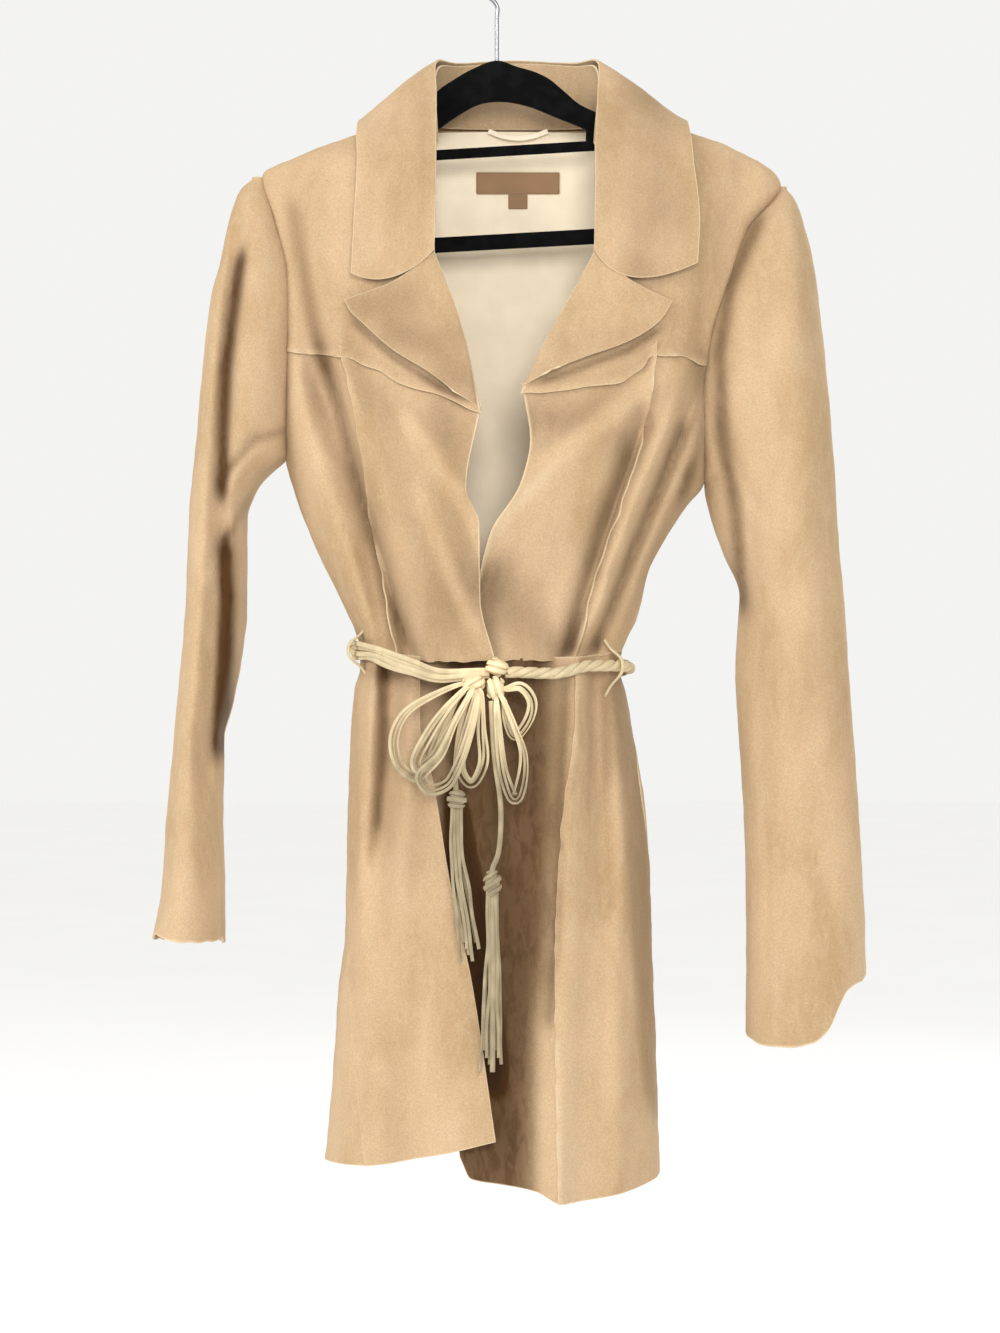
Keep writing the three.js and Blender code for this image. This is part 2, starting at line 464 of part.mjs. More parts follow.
// Each front is one sheet of points, cut into yoke, side panel and centre panel
function addFront(side, { yokeSeam, neckEdge, frontEdge, princess, waist, folds }) {
  const mirror = side === 'l';
  const shoulderTop = neckEdge[0][1];
  const counts = { side: 5, centre: 7, yoke: 9, lower: 11 };
  const outerX = (z) => (mirror ? sideL(z) : sideR(z));
  const seamLine = track(yokeSeam);
  const splitAt = (points, x) => {
    const line = track(points);
    return part(0, 1, 400).find((t) => line(t)[0] >= x);
  };
  const seamSplit = splitAt(yokeSeam, princess[0][0]);
  const waistSplit = splitAt(waist, princess.at(-1)[0]);
  const princessLine = [[...seamLine(seamSplit)], ...princess.slice(1, -1), track(waist)(waistSplit)];
  const upperLine = [...(mirror ? UPPER_PRINCESS_L : UPPER_PRINCESS_R), seamLine(seamSplit)];
  const topSide = [[outerX(shoulderTop), shoulderTop], upperLine[0]];
  const topCentre = [upperLine[0], neckEdge[0]];
  const seamZ = yokeSeam[mirror ? yokeSeam.length - 1 : 0][1];
  const waistZ = waist[mirror ? waist.length - 1 : 0][1];
  const upperSide = sideEdge(side, shoulderTop, seamZ);
  const lowerSide = sideEdge(side, seamZ, waistZ);
  const vs = { yoke: part(0, 1, counts.yoke), lower: part(0, 1, counts.lower) };
  const us = { side: part(0, 1, counts.side), centre: part(0, 1, counts.centre) };
  const block = (row, top, bottom, edges, columns) => patch(top, bottom, edges[0], edges[1], us[columns], vs[row]);
  const sideFirst = (edge, other) => (mirror ? [other, edge] : [edge, other]);
  const sideRange = (at) => (mirror ? [at, 1] : [0, at]);
  const centreRange = (at) => (mirror ? [0, at] : [at, 1]);
  const reversed = (points) => (mirror ? [...points].reverse() : points);
  const blocks = {
    yokeSide: block('yoke', seam(reversed(topSide)), seam(yokeSeam, ...sideRange(seamSplit)),
      sideFirst(upperSide, seam(upperLine)), 'side'),
    yokeCentre: block('yoke', seam(reversed(topCentre)), seam(yokeSeam, ...centreRange(seamSplit)),
      sideFirst(seam(upperLine), seam(neckEdge)), 'centre'),
    lowerSide: block('lower', seam(yokeSeam, ...sideRange(seamSplit)),
      seam(waist, ...sideRange(waistSplit)), sideFirst(lowerSide, seam(princessLine)), 'side'),
    lowerCentre: block('lower', seam(yokeSeam, ...centreRange(seamSplit)),
      seam(waist, ...centreRange(waistSplit)), sideFirst(seam(princessLine), seam(frontEdge)), 'centre'),
  };
  const join = (sideGrid, centreGrid) => sideGrid.map((row, i) => (mirror
    ? [...centreGrid[i], ...row.slice(1)] : [...row, ...centreGrid[i].slice(1)]));
  const grid = [...join(blocks.yokeSide, blocks.yokeCentre), ...join(blocks.lowerSide, blocks.lowerCentre).slice(1)];
  const points = grid.map((row) => row.map(([turn, z]) => bodyPoint(turn, z, -1, folds)));
  const sheet = cloth(points, SUEDE, 1, [mirror ? -1 : 0]);
  const last = counts.side + counts.centre;
  const parting = mirror ? counts.centre : counts.side;
  const bottom = counts.yoke + counts.lower;
  add(`yoke_front_${side}`, cut(sheet, [0, counts.yoke]), SUEDE_FINISH);
  add(`front_side_${side}`, cut(sheet, [counts.yoke, bottom], mirror ? [parting, last] : [0, parting]), SUEDE_FINISH);
  add(`front_center_${side}`, cut(sheet, [counts.yoke, bottom], mirror ? [0, parting] : [parting, last]), SUEDE_FINISH);
}

addFront('r', { yokeSeam: YOKE_SEAM_R, neckEdge: NECK_EDGE_R, frontEdge: FRONT_EDGE_R,
  princess: PRINCESS_R, waist: WAIST_R, folds: [...FRONT_FOLDS, OVERLAP_FOLD] });
addFront('l', { yokeSeam: YOKE_SEAM_L, neckEdge: NECK_EDGE_L, frontEdge: FRONT_EDGE_L,
  princess: PRINCESS_L, waist: WAIST_L, folds: [...FRONT_FOLDS, UNDERLAP_FOLD] });

// Back of the body, from the right side round the back to the left side
const BACK_TURNS = [Math.PI / 2, (3 * Math.PI) / 2];
const acrossBack = (zAt) => (t) => {
  const turn = THREE.MathUtils.lerp(...BACK_TURNS, t);
  return [turn, zAt(t)];
};
const level = (points) => {
  const line = smooth(points.map((_, i) => i / (points.length - 1)), points);
  return acrossBack(line);
};
const backSide = (side, top, bottom) => {
  const line = sideEdge(side, top, bottom);
  return (t) => [side === 'l' ? BACK_TURNS[0] : BACK_TURNS[1], line(t)[1]];
};
const NECK_SEAM_BACK = [-153, -147, -146.5, -147, -153];
const WAIST_BACK = [-567, -570, -572, -570, -564];
const SKIRT_TOP_BACK = [-567.5, -570.5, -572.5, -570.5, -564.5];
const HEM_BACK = [-984, -978, -974, -968, -962];

// One sheet of points, cut at the seam down its middle
function addBack() {
  const [columns, rows] = [14, 14];
  const grid = patch(level(NECK_SEAM_BACK), level(WAIST_BACK), backSide('l', -153, -567), backSide('r', -153, -564),
    part(0, 1, columns), part(0, 1, rows));
  const points = grid.map((row) => row.map(([turn, z]) => bodyPoint(turn, z, 1, BACK_FOLDS)));
  const back = cloth(points, SUEDE, 1, [0, -1]);
  add('back_bodice_l', cut(back, undefined, [0, columns / 2]), SUEDE_FINISH);
  add('back_bodice_r', cut(back, undefined, [columns / 2, columns]), SUEDE_FINISH);

  // The lining is the same sheet of points, moved in
  const inside = cloth(points, SUEDE + LINING_CLEARANCE, 1, [0, -1]).inner;
  const lining = cloth(inside, LINING, 1, [0, -1]);
  add('lining_yoke', cut(lining, [0, LINING_SEAM_ROW], LINING_COLUMNS), LINING_FINISH);
  add('lining_back', cut(lining, [LINING_SEAM_ROW, rows], LINING_COLUMNS), LINING_FINISH);
}

// The skirt is one sheet of points from front edge to front edge, cut at its seams. Its back
// wraps forward to the side seam on the wearer's right.
function addSkirts() {
  const rows = part(0, 1, 13);
  const wholeTurn = 2 * Math.PI;
  const onward = (edge) => (t) => {
    const [turn, z] = edge(t);
    return [turn + wholeTurn, z];
  };
  const levels = (heights, from, to) => {
    const line = smooth(heights.map((_, i) => i / (heights.length - 1)), heights);
    return (t) => [THREE.MathUtils.lerp(from, to, t), line(t)];
  };
  const splitAt = (line, x) => part(0, 1, 400).find((t) => line(t)[0] >= x);
  const [topLine, hemLine] = [track(SKIRT_TOP_L), track(HEM_L)];
  const topSplit = splitAt(topLine, SKIRT_SEAM_L[0][0]);
  const hemSplit = splitAt(hemLine, SKIRT_SEAM_L.at(-1)[0]);
  const frontSeam = seam([topLine(topSplit), ...SKIRT_SEAM_L.slice(1, -1), hemLine(hemSplit)]);
  const sideLeft = seam(SKIRT_SIDE_L);
  const sideRight = onward(seam(SKIRT_SIDE_R));
  const panels = [
    { name: 'skirt_front_l', top: seam(SKIRT_TOP_L, 0, topSplit), hem: seam(HEM_L, 0, hemSplit),
      edges: [seam(SKIRT_EDGE_L), frontSeam], columns: 7, face: -1, folds: SKIRT_L_FOLDS },
    { name: 'skirt_side_l', top: seam(SKIRT_TOP_L, topSplit, 1), hem: seam(HEM_L, hemSplit, 1),
      edges: [frontSeam, sideLeft], columns: 6, face: -1, folds: SKIRT_L_FOLDS },
    { name: 'back_skirt', top: levels(SKIRT_TOP_BACK, sideLeft(0)[0], sideRight(0)[0]),
      hem: levels(HEM_BACK, sideLeft(1)[0], sideRight(1)[0]),
      edges: [sideLeft, sideRight], columns: 15, face: 1, folds: BACK_FOLDS },
    { name: 'skirt_front_r', top: onward(seam(SKIRT_TOP_R)), hem: onward(seam(HEM_R)),
      edges: [sideRight, onward(seam(SKIRT_EDGE_R))], columns: 8, face: -1, folds: SKIRT_R_FOLDS },
  ];
  let [sheet, start] = [rows.map(() => []), 0];
  const spans = panels.map(({ name, top, hem, edges, columns, face, folds }) => {
    const grid = patch(top, hem, edges[0], edges[1], part(0, 1, columns), rows);
    const points = grid.map((row) => row.map(([turn, z]) => bodyPoint(turn, z, face, folds)));
    sheet = sheet.map((row, i) => [...row.slice(0, start), ...points[i]]);
    start += columns;
    return { name, span: [start - columns, start] };
  });
  const skirt = cloth(sheet, SUEDE);
  spans.forEach(({ name, span }) => add(name, cut(skirt, undefined, span), SUEDE_FINISH));
}

// Sleeves are sheets rolled round from their inner seam
function sleevePoint(side, rows, folds) {
  const [inner, outer, depth, middle] = ['inner', 'outer', 'depth', 'middle'].map((key) => byHeight(rows, key));
  const sign = side === 'r' ? 1 : -1;
  const armholeX = side === 'r' ? sideR : sideL;
  return (turn, z) => {
    const open = z > ARMHOLE[side].bottom;
    const innerX = open ? armholeX(z) - sign * ARMHOLE_SEAM : inner(z);
    const half = Math.max(MIN_SLEEVE_HALF, Math.abs(innerX - outer(z)) / 2);
    const cos = Math.cos(turn);
    const x = innerX - sign * half * (1 - Math.sign(cos) * Math.abs(cos) ** SLEEVE_ROUNDNESS);
    const facing = (side === 'r') === (turn < Math.PI) ? 1 : -1;
    const gap = Math.min(opening(side, z), depth(z)) * ((1 + cos) / 2);
    const bulge = Math.abs(Math.sin(turn)) ** SLEEVE_ROUNDNESS;
    const rise = facing < 0 ? foldRise(folds, x, z) * bulge : 0;
    return new THREE.Vector3(x, middle(z) + facing * (gap + (depth(z) - gap) * bulge + rise), z);
  };
}

function addSleeve(side, rows, cuff, folds) {
  const pointAt = sleevePoint(side, rows, folds);
  const cuffAt = smooth(cuff.map((row) => row.turn), cuff.map((row) => row.z));
  const turns = part(0, 2 * Math.PI, 18);
  const steps = part(0, 1, 19).map((v) => v ** SLEEVE_TOP_CROWDING);
  const points = steps.map((v) => turns.map((turn) => {
    const z = THREE.MathUtils.lerp(SLEEVE_TOP[side], cuffAt(THREE.MathUtils.radToDeg(turn)), v);
    return pointAt(turn, z);
  }));
  const thick = (i) => Math.min(SUEDE, SLEEVE_TOP_THICK.first + SLEEVE_TOP_THICK.step * i);
  add(`sleeve_${side}`, cut(cloth(points, thick, 1)), SUEDE_FINISH);
}

// A strip between lines of 3D points, given as sections from one end to the other
function strip(sections, us, vs) {
  const lines = sections[0].map((_, k) => track(sections.map((section) => section[k])));
  return vs.map((v) => us.map((u) => {
    const across = track(lines.map((line) => line(u)));
    return new THREE.Vector3(...across(v));
  }));
}

function addCollar() {
  const fall = strip(FALL.map(({ roll, middle, edge }) => [roll, middle, edge]), part(0, 1, 30), part(0, 1, 4));
  add('collar_fall', cut(cloth(fall, SUEDE, 1)), SUEDE_FINISH);
  const stand = strip(STAND.map(({ base, top }) => [top, base]), part(0, 1, 20), part(0, 1, 3));
  add('collar_stand', cut(cloth(stand, SUEDE, 1)), SUEDE_FINISH);
}

// A lapel lies on its front: its points are the front's, moved out
function addLapel(side, { top, outer, roll }) {
  const mirror = side === 'l';
  const end = [outer.at(-1), roll.at(-1)];
  const [topLine, endLine] = [track(top), track(mirror ? [...end].reverse() : end)];
  const [leftLine, rightLine] = mirror ? [track(roll), track(outer)] : [track(outer), track(roll)];
  const grid = patch(topLine, endLine, leftLine, rightLine, part(0, 1, 6), part(0, 1, 8));
  const points = grid.map((row) => row.map(([x, z], j) => {
    const fromRoll = mirror ? j / (row.length - 1) : 1 - j / (row.length - 1);
    const lift = THREE.MathUtils.lerp(LAPEL_LIFT.roll, LAPEL_LIFT.outer, Math.sqrt(fromRoll));
    return onFront(x, z, FRONT_FOLDS, lift + SUEDE);
  }));
  add(`lapel_${side}`, cut(cloth(points, SUEDE)), SUEDE_FINISH);
}

// Flat pieces on the lining, by their middle seen from the front
function addOnLining(name, { x, z, wide, tall, thick, lift }, material) {
  const turnBehind = (at, height) => Math.PI - turnAt(at, height);
  const columns = part(x + wide / 2, x - wide / 2, 4);
  const rows = part(z + tall / 2, z - tall / 2, 1);
  const inset = -(SUEDE + LINING_CLEARANCE + LINING + lift);
  const points = rows.map((height) => columns.map((at) => bodyPoint(turnBehind(at, height), height, 1, [], inset)));
  add(name, cut(cloth(points, thick)), material);
}

// Round lace, rope or wire along a smooth line
function addLace(name, line, radius, steps, sides, material) {
  const curve = new THREE.CatmullRomCurve3(line.map((point) => new THREE.Vector3(...point)), false, 'centripetal');
  const section = new THREE.Shape(part(0, sides - 1, sides - 1).map((i) => (
    new THREE.Vector2(radius * Math.cos((2 * Math.PI * i) / sides), radius * Math.sin((2 * Math.PI * i) / sides)))));
  const geometry = new THREE.ExtrudeGeometry(section, { steps, extrudePath: curve, bevelEnabled: false });
  return add(name, geometry, material);
}

// Middle of the belt at a turn in degrees
const beltHeight = smooth(BELT_HEIGHT.map((row) => row.turn), BELT_HEIGHT.map((row) => row.z));
function beltPoint(degrees, out = 0, up = 0) {
  const turn = THREE.MathUtils.degToRad(degrees);
  const z = beltHeight(degrees);
  const [sin, cos] = [Math.sin(turn), Math.cos(turn)];
  const away = out + THREE.MathUtils.lerp(BELT.atSide, BELT.atFront, Math.max(0, cos));
  const half = (sideL(z) - sideR(z)) / 2 + away;
  const depth = depthOf[cos > 0 ? 'front' : 'back'](z) + away + BELT.slack;
  return [(sideR(z) + sideL(z)) / 2 + half * Math.sign(sin) * Math.abs(sin) ** ROUNDNESS,
    -Math.sign(cos) * depth * Math.abs(cos) ** ROUNDNESS, z + up];
}

function addBelt() {
  const run = (from, to, count) => part(from, to, count).map((degrees) => beltPoint(degrees));
  addLace('belt_front_r', run(-90 + BELT_PARTING, -5.6, 12), BELT.radius, 13, 8, LACE_FINISH);
  addLace('belt_front_l', run(3.9, 90 - BELT_PARTING, 14), BELT.radius, 14, 8, LACE_FINISH);
  addLace('belt_back', run(90 + BELT_PARTING, 270 - BELT_PARTING, 20), BELT.radius, 22, 8, LACE_FINISH);

  // Carriers stand out from the body and pass over the belt
  const clear = BELT.radius * Math.cos(Math.PI / 8) + CARRIER_RADIUS + BAR_JOINT;
  Object.entries(CARRIERS).forEach(([name, { turn, above, below }]) => {
    const [near, slope] = [4, clear - CARRIER_SLOPE];
    const line = [beltPoint(turn, CARRIER_ENDS.above, above), beltPoint(turn, slope, above * 0.5),
      beltPoint(turn, clear, near), beltPoint(turn, clear, -near), beltPoint(turn, slope, -below * 0.5),
      beltPoint(turn, CARRIER_ENDS.below, -below)];
    addLace(name, line, CARRIER_RADIUS, 10, 6, LACE_FINISH);
  });
}

function ball([x, y, z], [a, b, c], detail = [10, 7]) {
  const geometry = new THREE.SphereGeometry(1, ...detail);
  geometry.scale(a, c, b);
  geometry.rotateX(Math.PI / 2);
  return geometry.translate(x, y, z);
}

function addBow() {
  KNOTS.forEach(({ name, at, size }) => add(name, ball(at, size), LACE_FINISH));
  BOW_LOOPS.forEach(({ name, line }) => addLace(name, line, LACE_RADIUS, 18, 5, LACE_FINISH));
  TAILS.forEach(({ name, line }) => addLace(name, line, LACE_RADIUS, 12, 8, LACE_FINISH));
}

// Solid for joining, from a closed geometry
function toSolid(geometry) {
  const bare = geometry.clone();
  bare.deleteAttribute('normal');
  bare.deleteAttribute('uv');
  const merged = mergeVertices(bare);
  return new wasm.Manifold(new wasm.Mesh({
    numProp: 3,
    vertProperties: new Float32Array(merged.attributes.position.array),
    triVerts: new Uint32Array(merged.index.array),
  }));
}

function fromSolid(solid) {
  const mesh = solid.getMesh();
  const geometry = new THREE.BufferGeometry();
  geometry.setAttribute('position', new THREE.BufferAttribute(new Float32Array(mesh.vertProperties), 3));
  geometry.setIndex(new THREE.BufferAttribute(new Uint32Array(mesh.triVerts), 1));
  geometry.computeVertexNormals();
  return geometry;
}

// A tassel is a knot with strands of lace rooted in it
function addTassel({ name, knot, size, top, length, lean, strands, spread }) {
  const [x, y] = knot;
  const parts = part(0, strands - 1, strands - 1).map((i) => {
    const across = (i / (strands - 1) - 0.5) * 2;
    const front = i % 2 === 0 ? -STRAND.apart : STRAND.apart;
    const drop = length * (1 - STRAND.shorter * ((i * 3) % 4) / 3);
    const line = [[x + across * STRAND.rootWide, y + front * 0.8, top + 6],
      [x + across * STRAND.neckWide, y + front, top - drop * 0.3],
      [x + across * spread * 0.8 + lean * 0.5, y + front, top - drop * 0.65],
      [x + across * spread + lean, y + front, top - drop]];
    const curve = new THREE.CatmullRomCurve3(line.map((point) => new THREE.Vector3(...point)));
    const corners = [[-1, -STRAND.flat], [1, -STRAND.flat], [1, STRAND.flat], [-1, STRAND.flat]];
    const section = new THREE.Shape(corners.map(([a, b]) => new THREE.Vector2(a * STRAND.half, b * STRAND.half)));
    return toSolid(new THREE.ExtrudeGeometry(section, { steps: 5, extrudePath: curve, bevelEnabled: false }));
  });
  const joined = parts.reduce((solid, strand) => solid.add(strand), toSolid(ball(knot, size)));
  add(name, fromSolid(joined), LACE_FINISH);
}

// The hanger's arms carry the shoulders, so their upper edge follows the shoulder line
function addHanger() {
  const shoulder = (rows, x) => {
    const out = (at) => Math.abs(at - HANGER.middle);
    const end = rows[HANGER.shoulderRow];
    const shoulderRows = rows.filter((row) => out(row.x) <= out(end.x) && row.z >= end.z);
    return smooth(shoulderRows.map((row) => out(row.x)), shoulderRows.map((row) => row.z))(out(x));
  };
  const drop = SUEDE + HANGER.seat;
  const armR = part(HANGER.tipR, HANGER.archR, 9).map((x) => [x, shoulder(SIDE_R, x) - drop]);
  const armL = part(HANGER.archL, HANGER.tipL, 9).map((x) => [x, shoulder(SIDE_L, x) - drop]);
  const tip = (x, z, out) => [[x + out * 3, z - 5], [x + out * 3, z - HANGER.tipDepth + 5], [x, z - HANGER.tipDepth]];
  const under = [...tip(...armL.at(-1), 1), HANGER.underL, ...HANGER.archUnder, HANGER.underR,
    ...tip(...armR[0], -1).reverse()];
  const outline = [...armR, ...HANGER.archTop, ...armL, ...under];
  const shape = new THREE.Shape(outline.map(([x, z]) => new THREE.Vector2(x, z)));
  const frame = new THREE.ExtrudeGeometry(shape, { depth: HANGER.thick, bevelEnabled: false });
  frame.rotateX(Math.PI / 2);
  frame.translate(0, HANGER.thick / 2, 0);
  add('hanger_frame', frame, FLOCK_FINISH);

  // Bars with turned up ends, which meet the underside of the arms
  const underside = [...under].sort((a, b) => a[0] - b[0]);
  const underAt = (x) => {
    const i = underside.findIndex((point) => point[0] >= x);
    const [a, b] = [underside[i - 1], underside[i]];
    return THREE.MathUtils.mapLinear(x, a[0], b[0], a[1], b[1]) - BAR_JOINT;
  };
  const bar = (name, { from, to, thick, tall, leg }) => {
    const barZ = (x) => THREE.MathUtils.mapLinear(x, from[0], to[0], from[1], to[1]);
    const [left, right] = [from[0], to[0]];
    const outlinePoints = [[left, barZ(left) - tall / 2], [right, barZ(right) - tall / 2],
      [right, underAt(right)], [right - leg, underAt(right - leg)], [right - leg, barZ(right - leg) + tall / 2],
      [left + leg, barZ(left + leg) + tall / 2], [left + leg, underAt(left + leg)], [left, underAt(left)]];
    const profile = new THREE.Shape(outlinePoints.map(([x, z]) => new THREE.Vector2(x, z)));
    const geometry = new THREE.ExtrudeGeometry(profile, { depth: thick, bevelEnabled: false });
    geometry.rotateX(Math.PI / 2);
    add(name, geometry, FLOCK_FINISH).position.y = thick / 2;
  };
  bar('hanger_tie_bar', TIE_BAR);
  bar('hanger_trouser_bar', TROUSER_BAR);

  const { hookWire, hookRadius } = HANGER;
  const ring = hookRadius + hookWire / 2;
  const loop = part(-80, 180, 12).map((degrees) => {
    const angle = THREE.MathUtils.degToRad(degrees);
    return [-ring * Math.cos(angle), 0, -hookRadius + ring * Math.sin(angle)];
  });
  const shank = [[0, 0, -95.6], [0, 0, -80], [0, 0, -62], [0, 0, -52]];
  const hook = [...shank, ...loop.slice(1)];
  addLace('hanger_hook', hook, hookWire / 2, 26, 6, METAL_FINISH);
}

addBack();
addSkirts();
addSleeve('r', SLEEVE_R, CUFF_R, SLEEVE_R_FOLDS);
addSleeve('l', SLEEVE_L, CUFF_L, SLEEVE_L_FOLDS);
addCollar();
addLapel('r', LAPEL_R);
addLapel('l', LAPEL_L);
addOnLining('label', LABEL, LABEL_FINISH);
addOnLining('size_tag', SIZE_TAG, LABEL_FINISH);
addLace('hang_loop', HANG_LOOP, CARRIER_RADIUS, 10, 6, LINING_FINISH);
addBelt();
addBow();
TASSELS.forEach(addTassel);
addHanger();

export default jacket;
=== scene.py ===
"""A belted suede jacket on its flocked hanger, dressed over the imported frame.

Tables and shapes are in millimetres, +Z up, the front faces -Y, and the origin is the inner top of the
hook. In names, r and l are the wearer's right and left, so r lies on the -X side.
"""

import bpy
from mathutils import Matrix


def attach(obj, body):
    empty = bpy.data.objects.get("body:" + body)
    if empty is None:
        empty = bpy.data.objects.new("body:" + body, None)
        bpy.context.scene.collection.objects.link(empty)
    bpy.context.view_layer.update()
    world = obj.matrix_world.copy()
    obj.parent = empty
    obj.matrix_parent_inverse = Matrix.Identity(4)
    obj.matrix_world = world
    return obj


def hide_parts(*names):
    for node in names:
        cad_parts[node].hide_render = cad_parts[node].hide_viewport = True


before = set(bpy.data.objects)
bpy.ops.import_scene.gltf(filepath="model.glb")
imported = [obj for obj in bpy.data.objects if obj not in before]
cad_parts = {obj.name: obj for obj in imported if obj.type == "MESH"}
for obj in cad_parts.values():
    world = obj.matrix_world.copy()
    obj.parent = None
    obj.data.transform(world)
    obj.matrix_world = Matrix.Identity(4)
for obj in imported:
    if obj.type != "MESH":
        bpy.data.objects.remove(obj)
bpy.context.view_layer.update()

import math
from functools import partial

import bmesh
import bpy
import numpy as np
from bpy.props import FloatProperty, FloatVectorProperty, IntProperty, PointerProperty
from mathutils import Vector

bl_info = {
    "name": "Suede jacket",
    "version": (1, 0, 0),
    "blender": (4, 5, 0),
    "location": "3D View > Sidebar > Jacket",
    "description": "Makes a belted suede jacket with lapels, bell sleeves and a lace belt, on a hanger",
    "category": "Add Mesh",
}

MM = 0.001
TINY = 1e-6                  # keeps a division away from nought
ROUNDNESS = 0.8              # 1 gives elliptic sections of the body, less gives squarer ones
ARMHOLE_DEPTH = 27           # half the front to back width of an armhole
SIDE_GAP = 0.3               # half the gap between front and back at the side seam
ARMHOLE = {"r": (-188, -414), "l": (-196, -431)}
ARMHOLE_TUCK = 2.2           # how far a sleeve's edge is tucked into the armhole
SLEEVE_ROUNDNESS = 0.85
SLEEVE_TOP = {"r": -190, "l": -198}
SLEEVE_LEAST_HALF = 3
SLEEVE_CROWDING = 1.25       # rows lie closer together at the shoulder
# The sleeves' painted shade lies only on their front
SLEEVE_FRONT = 6             # the shades of the front lie on what has its y below this
END_FADE = 2.4               # how much farther a fold or a shade fades at its ends than at its sides
LAP_REACH = 12               # how far from its raw edge a lap starts to rise
LAP_WAVE = 26                # size of the waves along a raw edge
LAP_PALE = 0.32              # how much paler the nap is at a raised edge

# Relief of hanging hide: how much of it, the size of its waves and their seed
RELIEF = ((0.6, 58, 3), (0.3, 23, 5), (0.14, 9, 8))
# About how long the sides of the panels are, which sets how many points they get
SIDE_LENGTHS = {
    "front_side": 82, "front_center": 104, "yoke_tall": 205, "front_tall": 235, "back_half": 200,
    "back_tall": 430, "skirt_tall": 410, "skirt_front_l": 105, "skirt_side_l": 105, "back_skirt": 420,
    "skirt_front_r": 115, "sleeve_round": 290, "sleeve_tall": 640, "collar_round": 560, "collar_deep": 72,
    "stand_round": 300, "stand_deep": 52, "lapel_wide": 62, "lapel_tall": 130, "lining_wide": 400,
}
# Share of a side in its first and in its last step, where they are narrow
CRISP_STEPS = {
    "skirt_tall": 0.003, "skirt_front_l": 0.008, "skirt_side_l": 0.008, "back_skirt": 0.008,
    "skirt_front_r": 0.008, "collar_round": 0.0016, "collar_deep": 0.012, "stand_round": 0.003,
    "stand_deep": 0.02, "lapel_wide": 0.012, "lapel_tall": 0.006,
}

# Outline of the body seen from the front: height z and x of each side
SIDE_R = [
    (-141, -48), (-146, -78), (-153, -106), (-170, -150), (-188, -188), (-227, -178), (-271, -168),
    (-323, -167), (-414, -169), (-441, -162), (-471, -151), (-498, -139), (-520, -128), (-539, -119),
    (-556, -112), (-568, -109), (-582, -109), (-600, -114), (-642, -117), (-697, -119), (-794, -121),
    (-835, -126), (-890, -130), (-975, -137),
]
SIDE_L = [
    (-141, 80), (-146, 114), (-153, 150), (-166, 188), (-196, 227), (-234, 200), (-271, 186),
    (-329, 169), (-367, 165), (-431, 166), (-455, 150), (-482, 133), (-509, 120), (-523, 117),
    (-543, 112), (-558, 104), (-568, 100), (-582, 98), (-602, 103), (-642, 110), (-687, 118),
    (-744, 122), (-811, 124), (-896, 127), (-999, 130),
]
# Height z, and how far the front and the back stand from the middle plane
DEPTH = [
    (-141, 10, 34), (-150, 20, 37), (-165, 29, 40), (-190, 38, 42), (-215, 44, 43), (-260, 50, 44),
    (-330, 58, 46), (-385, 62, 46), (-440, 64, 45), (-500, 62, 42), (-570, 56, 38), (-640, 62, 44),
    (-800, 72, 58), (-1000, 80, 66),
]

# Folds: a line of points in x and z, its rise (valleys are below 0) and half its width
FRONT_FOLDS = [
    ([(-180, -200), (-160, -290), (-137, -365)], -5, 12),
    ([(-137, -362), (-106, -450), (-74, -566)], -16, 11),
    ([(-152, -385), (-128, -470), (-97, -556)], 7, 13),
    ([(-112, -370), (-84, -450), (-52, -545)], 5, 15),
    ([(114, -395), (92, -455), (60, -566)], -12, 10),
    ([(158, -365), (125, -440), (78, -566)], -10, 9),
    ([(138, -385), (108, -450), (70, -550)], 7, 9),
    ([(138, -365), (50, -416), (-4, -476)], 8, 17),
    ([(195, -190), (185, -240), (160, -335)], -5, 10),
]
FRONT_CREASES = [
    ([(-121, -383), (-107, -450), (-86, -513), (-70, -566)], -7, 4.5),
    ([(115, -391), (88, -470), (56, -566)], -6, 4.5),
    ([(159, -367), (120, -460), (76, -565)], -6, 4.5),
    ([(-84, -460), (-76, -464), (-69, -467)], 2.2, 3.5),
    ([(-104, -498), (-96, -535), (-90, -568)], -3, 5),
    ([(-62, -515), (-54, -545), (-50, -572)], -2.6, 6),
    ([(-40, -530), (-34, -552), (-30, -574)], 1.8, 6),
    ([(38, -525), (42, -550), (46, -574)], -2.6, 6),
    ([(22, -540), (26, -556), (28, -574)], 1.6, 6),
    ([(86, -500), (84, -535), (82, -570)], 3, 5),
    ([(-150, -250), (-138, -300), (-122, -334)], 2.4, 10),
    ([(-128, -200), (-118, -260), (-108, -330)], -2.2, 14),
    ([(150, -215), (142, -270), (128, -330)], 2.6, 12),
    ([(-60, -388), (-38, -410), (-26, -440)], 2, 12),
    ([(60, -378), (84, -384), (112, -392)], -2, 9),
]
SKIRT_R_FOLDS = [
    ([(-80, -576), (-84, -640), (-92, -720)], -13, 9),
    ([(-68, -576), (-70, -660), (-80, -800)], 7, 12),
    ([(-104, -590), (-108, -800), (-92, -960)], 6, 16),
    ([(-30, -800), (-10, -900), (0, -960)], 4, 30),
    ([(-96, -580), (-98, -612), (-100, -650)], 3, 5),
    ([(-92, -760), (-76, -870), (-62, -962)], -3.5, 14),
    ([(-52, -700), (-42, -830), (-34, -955)], 2.5, 18),
]
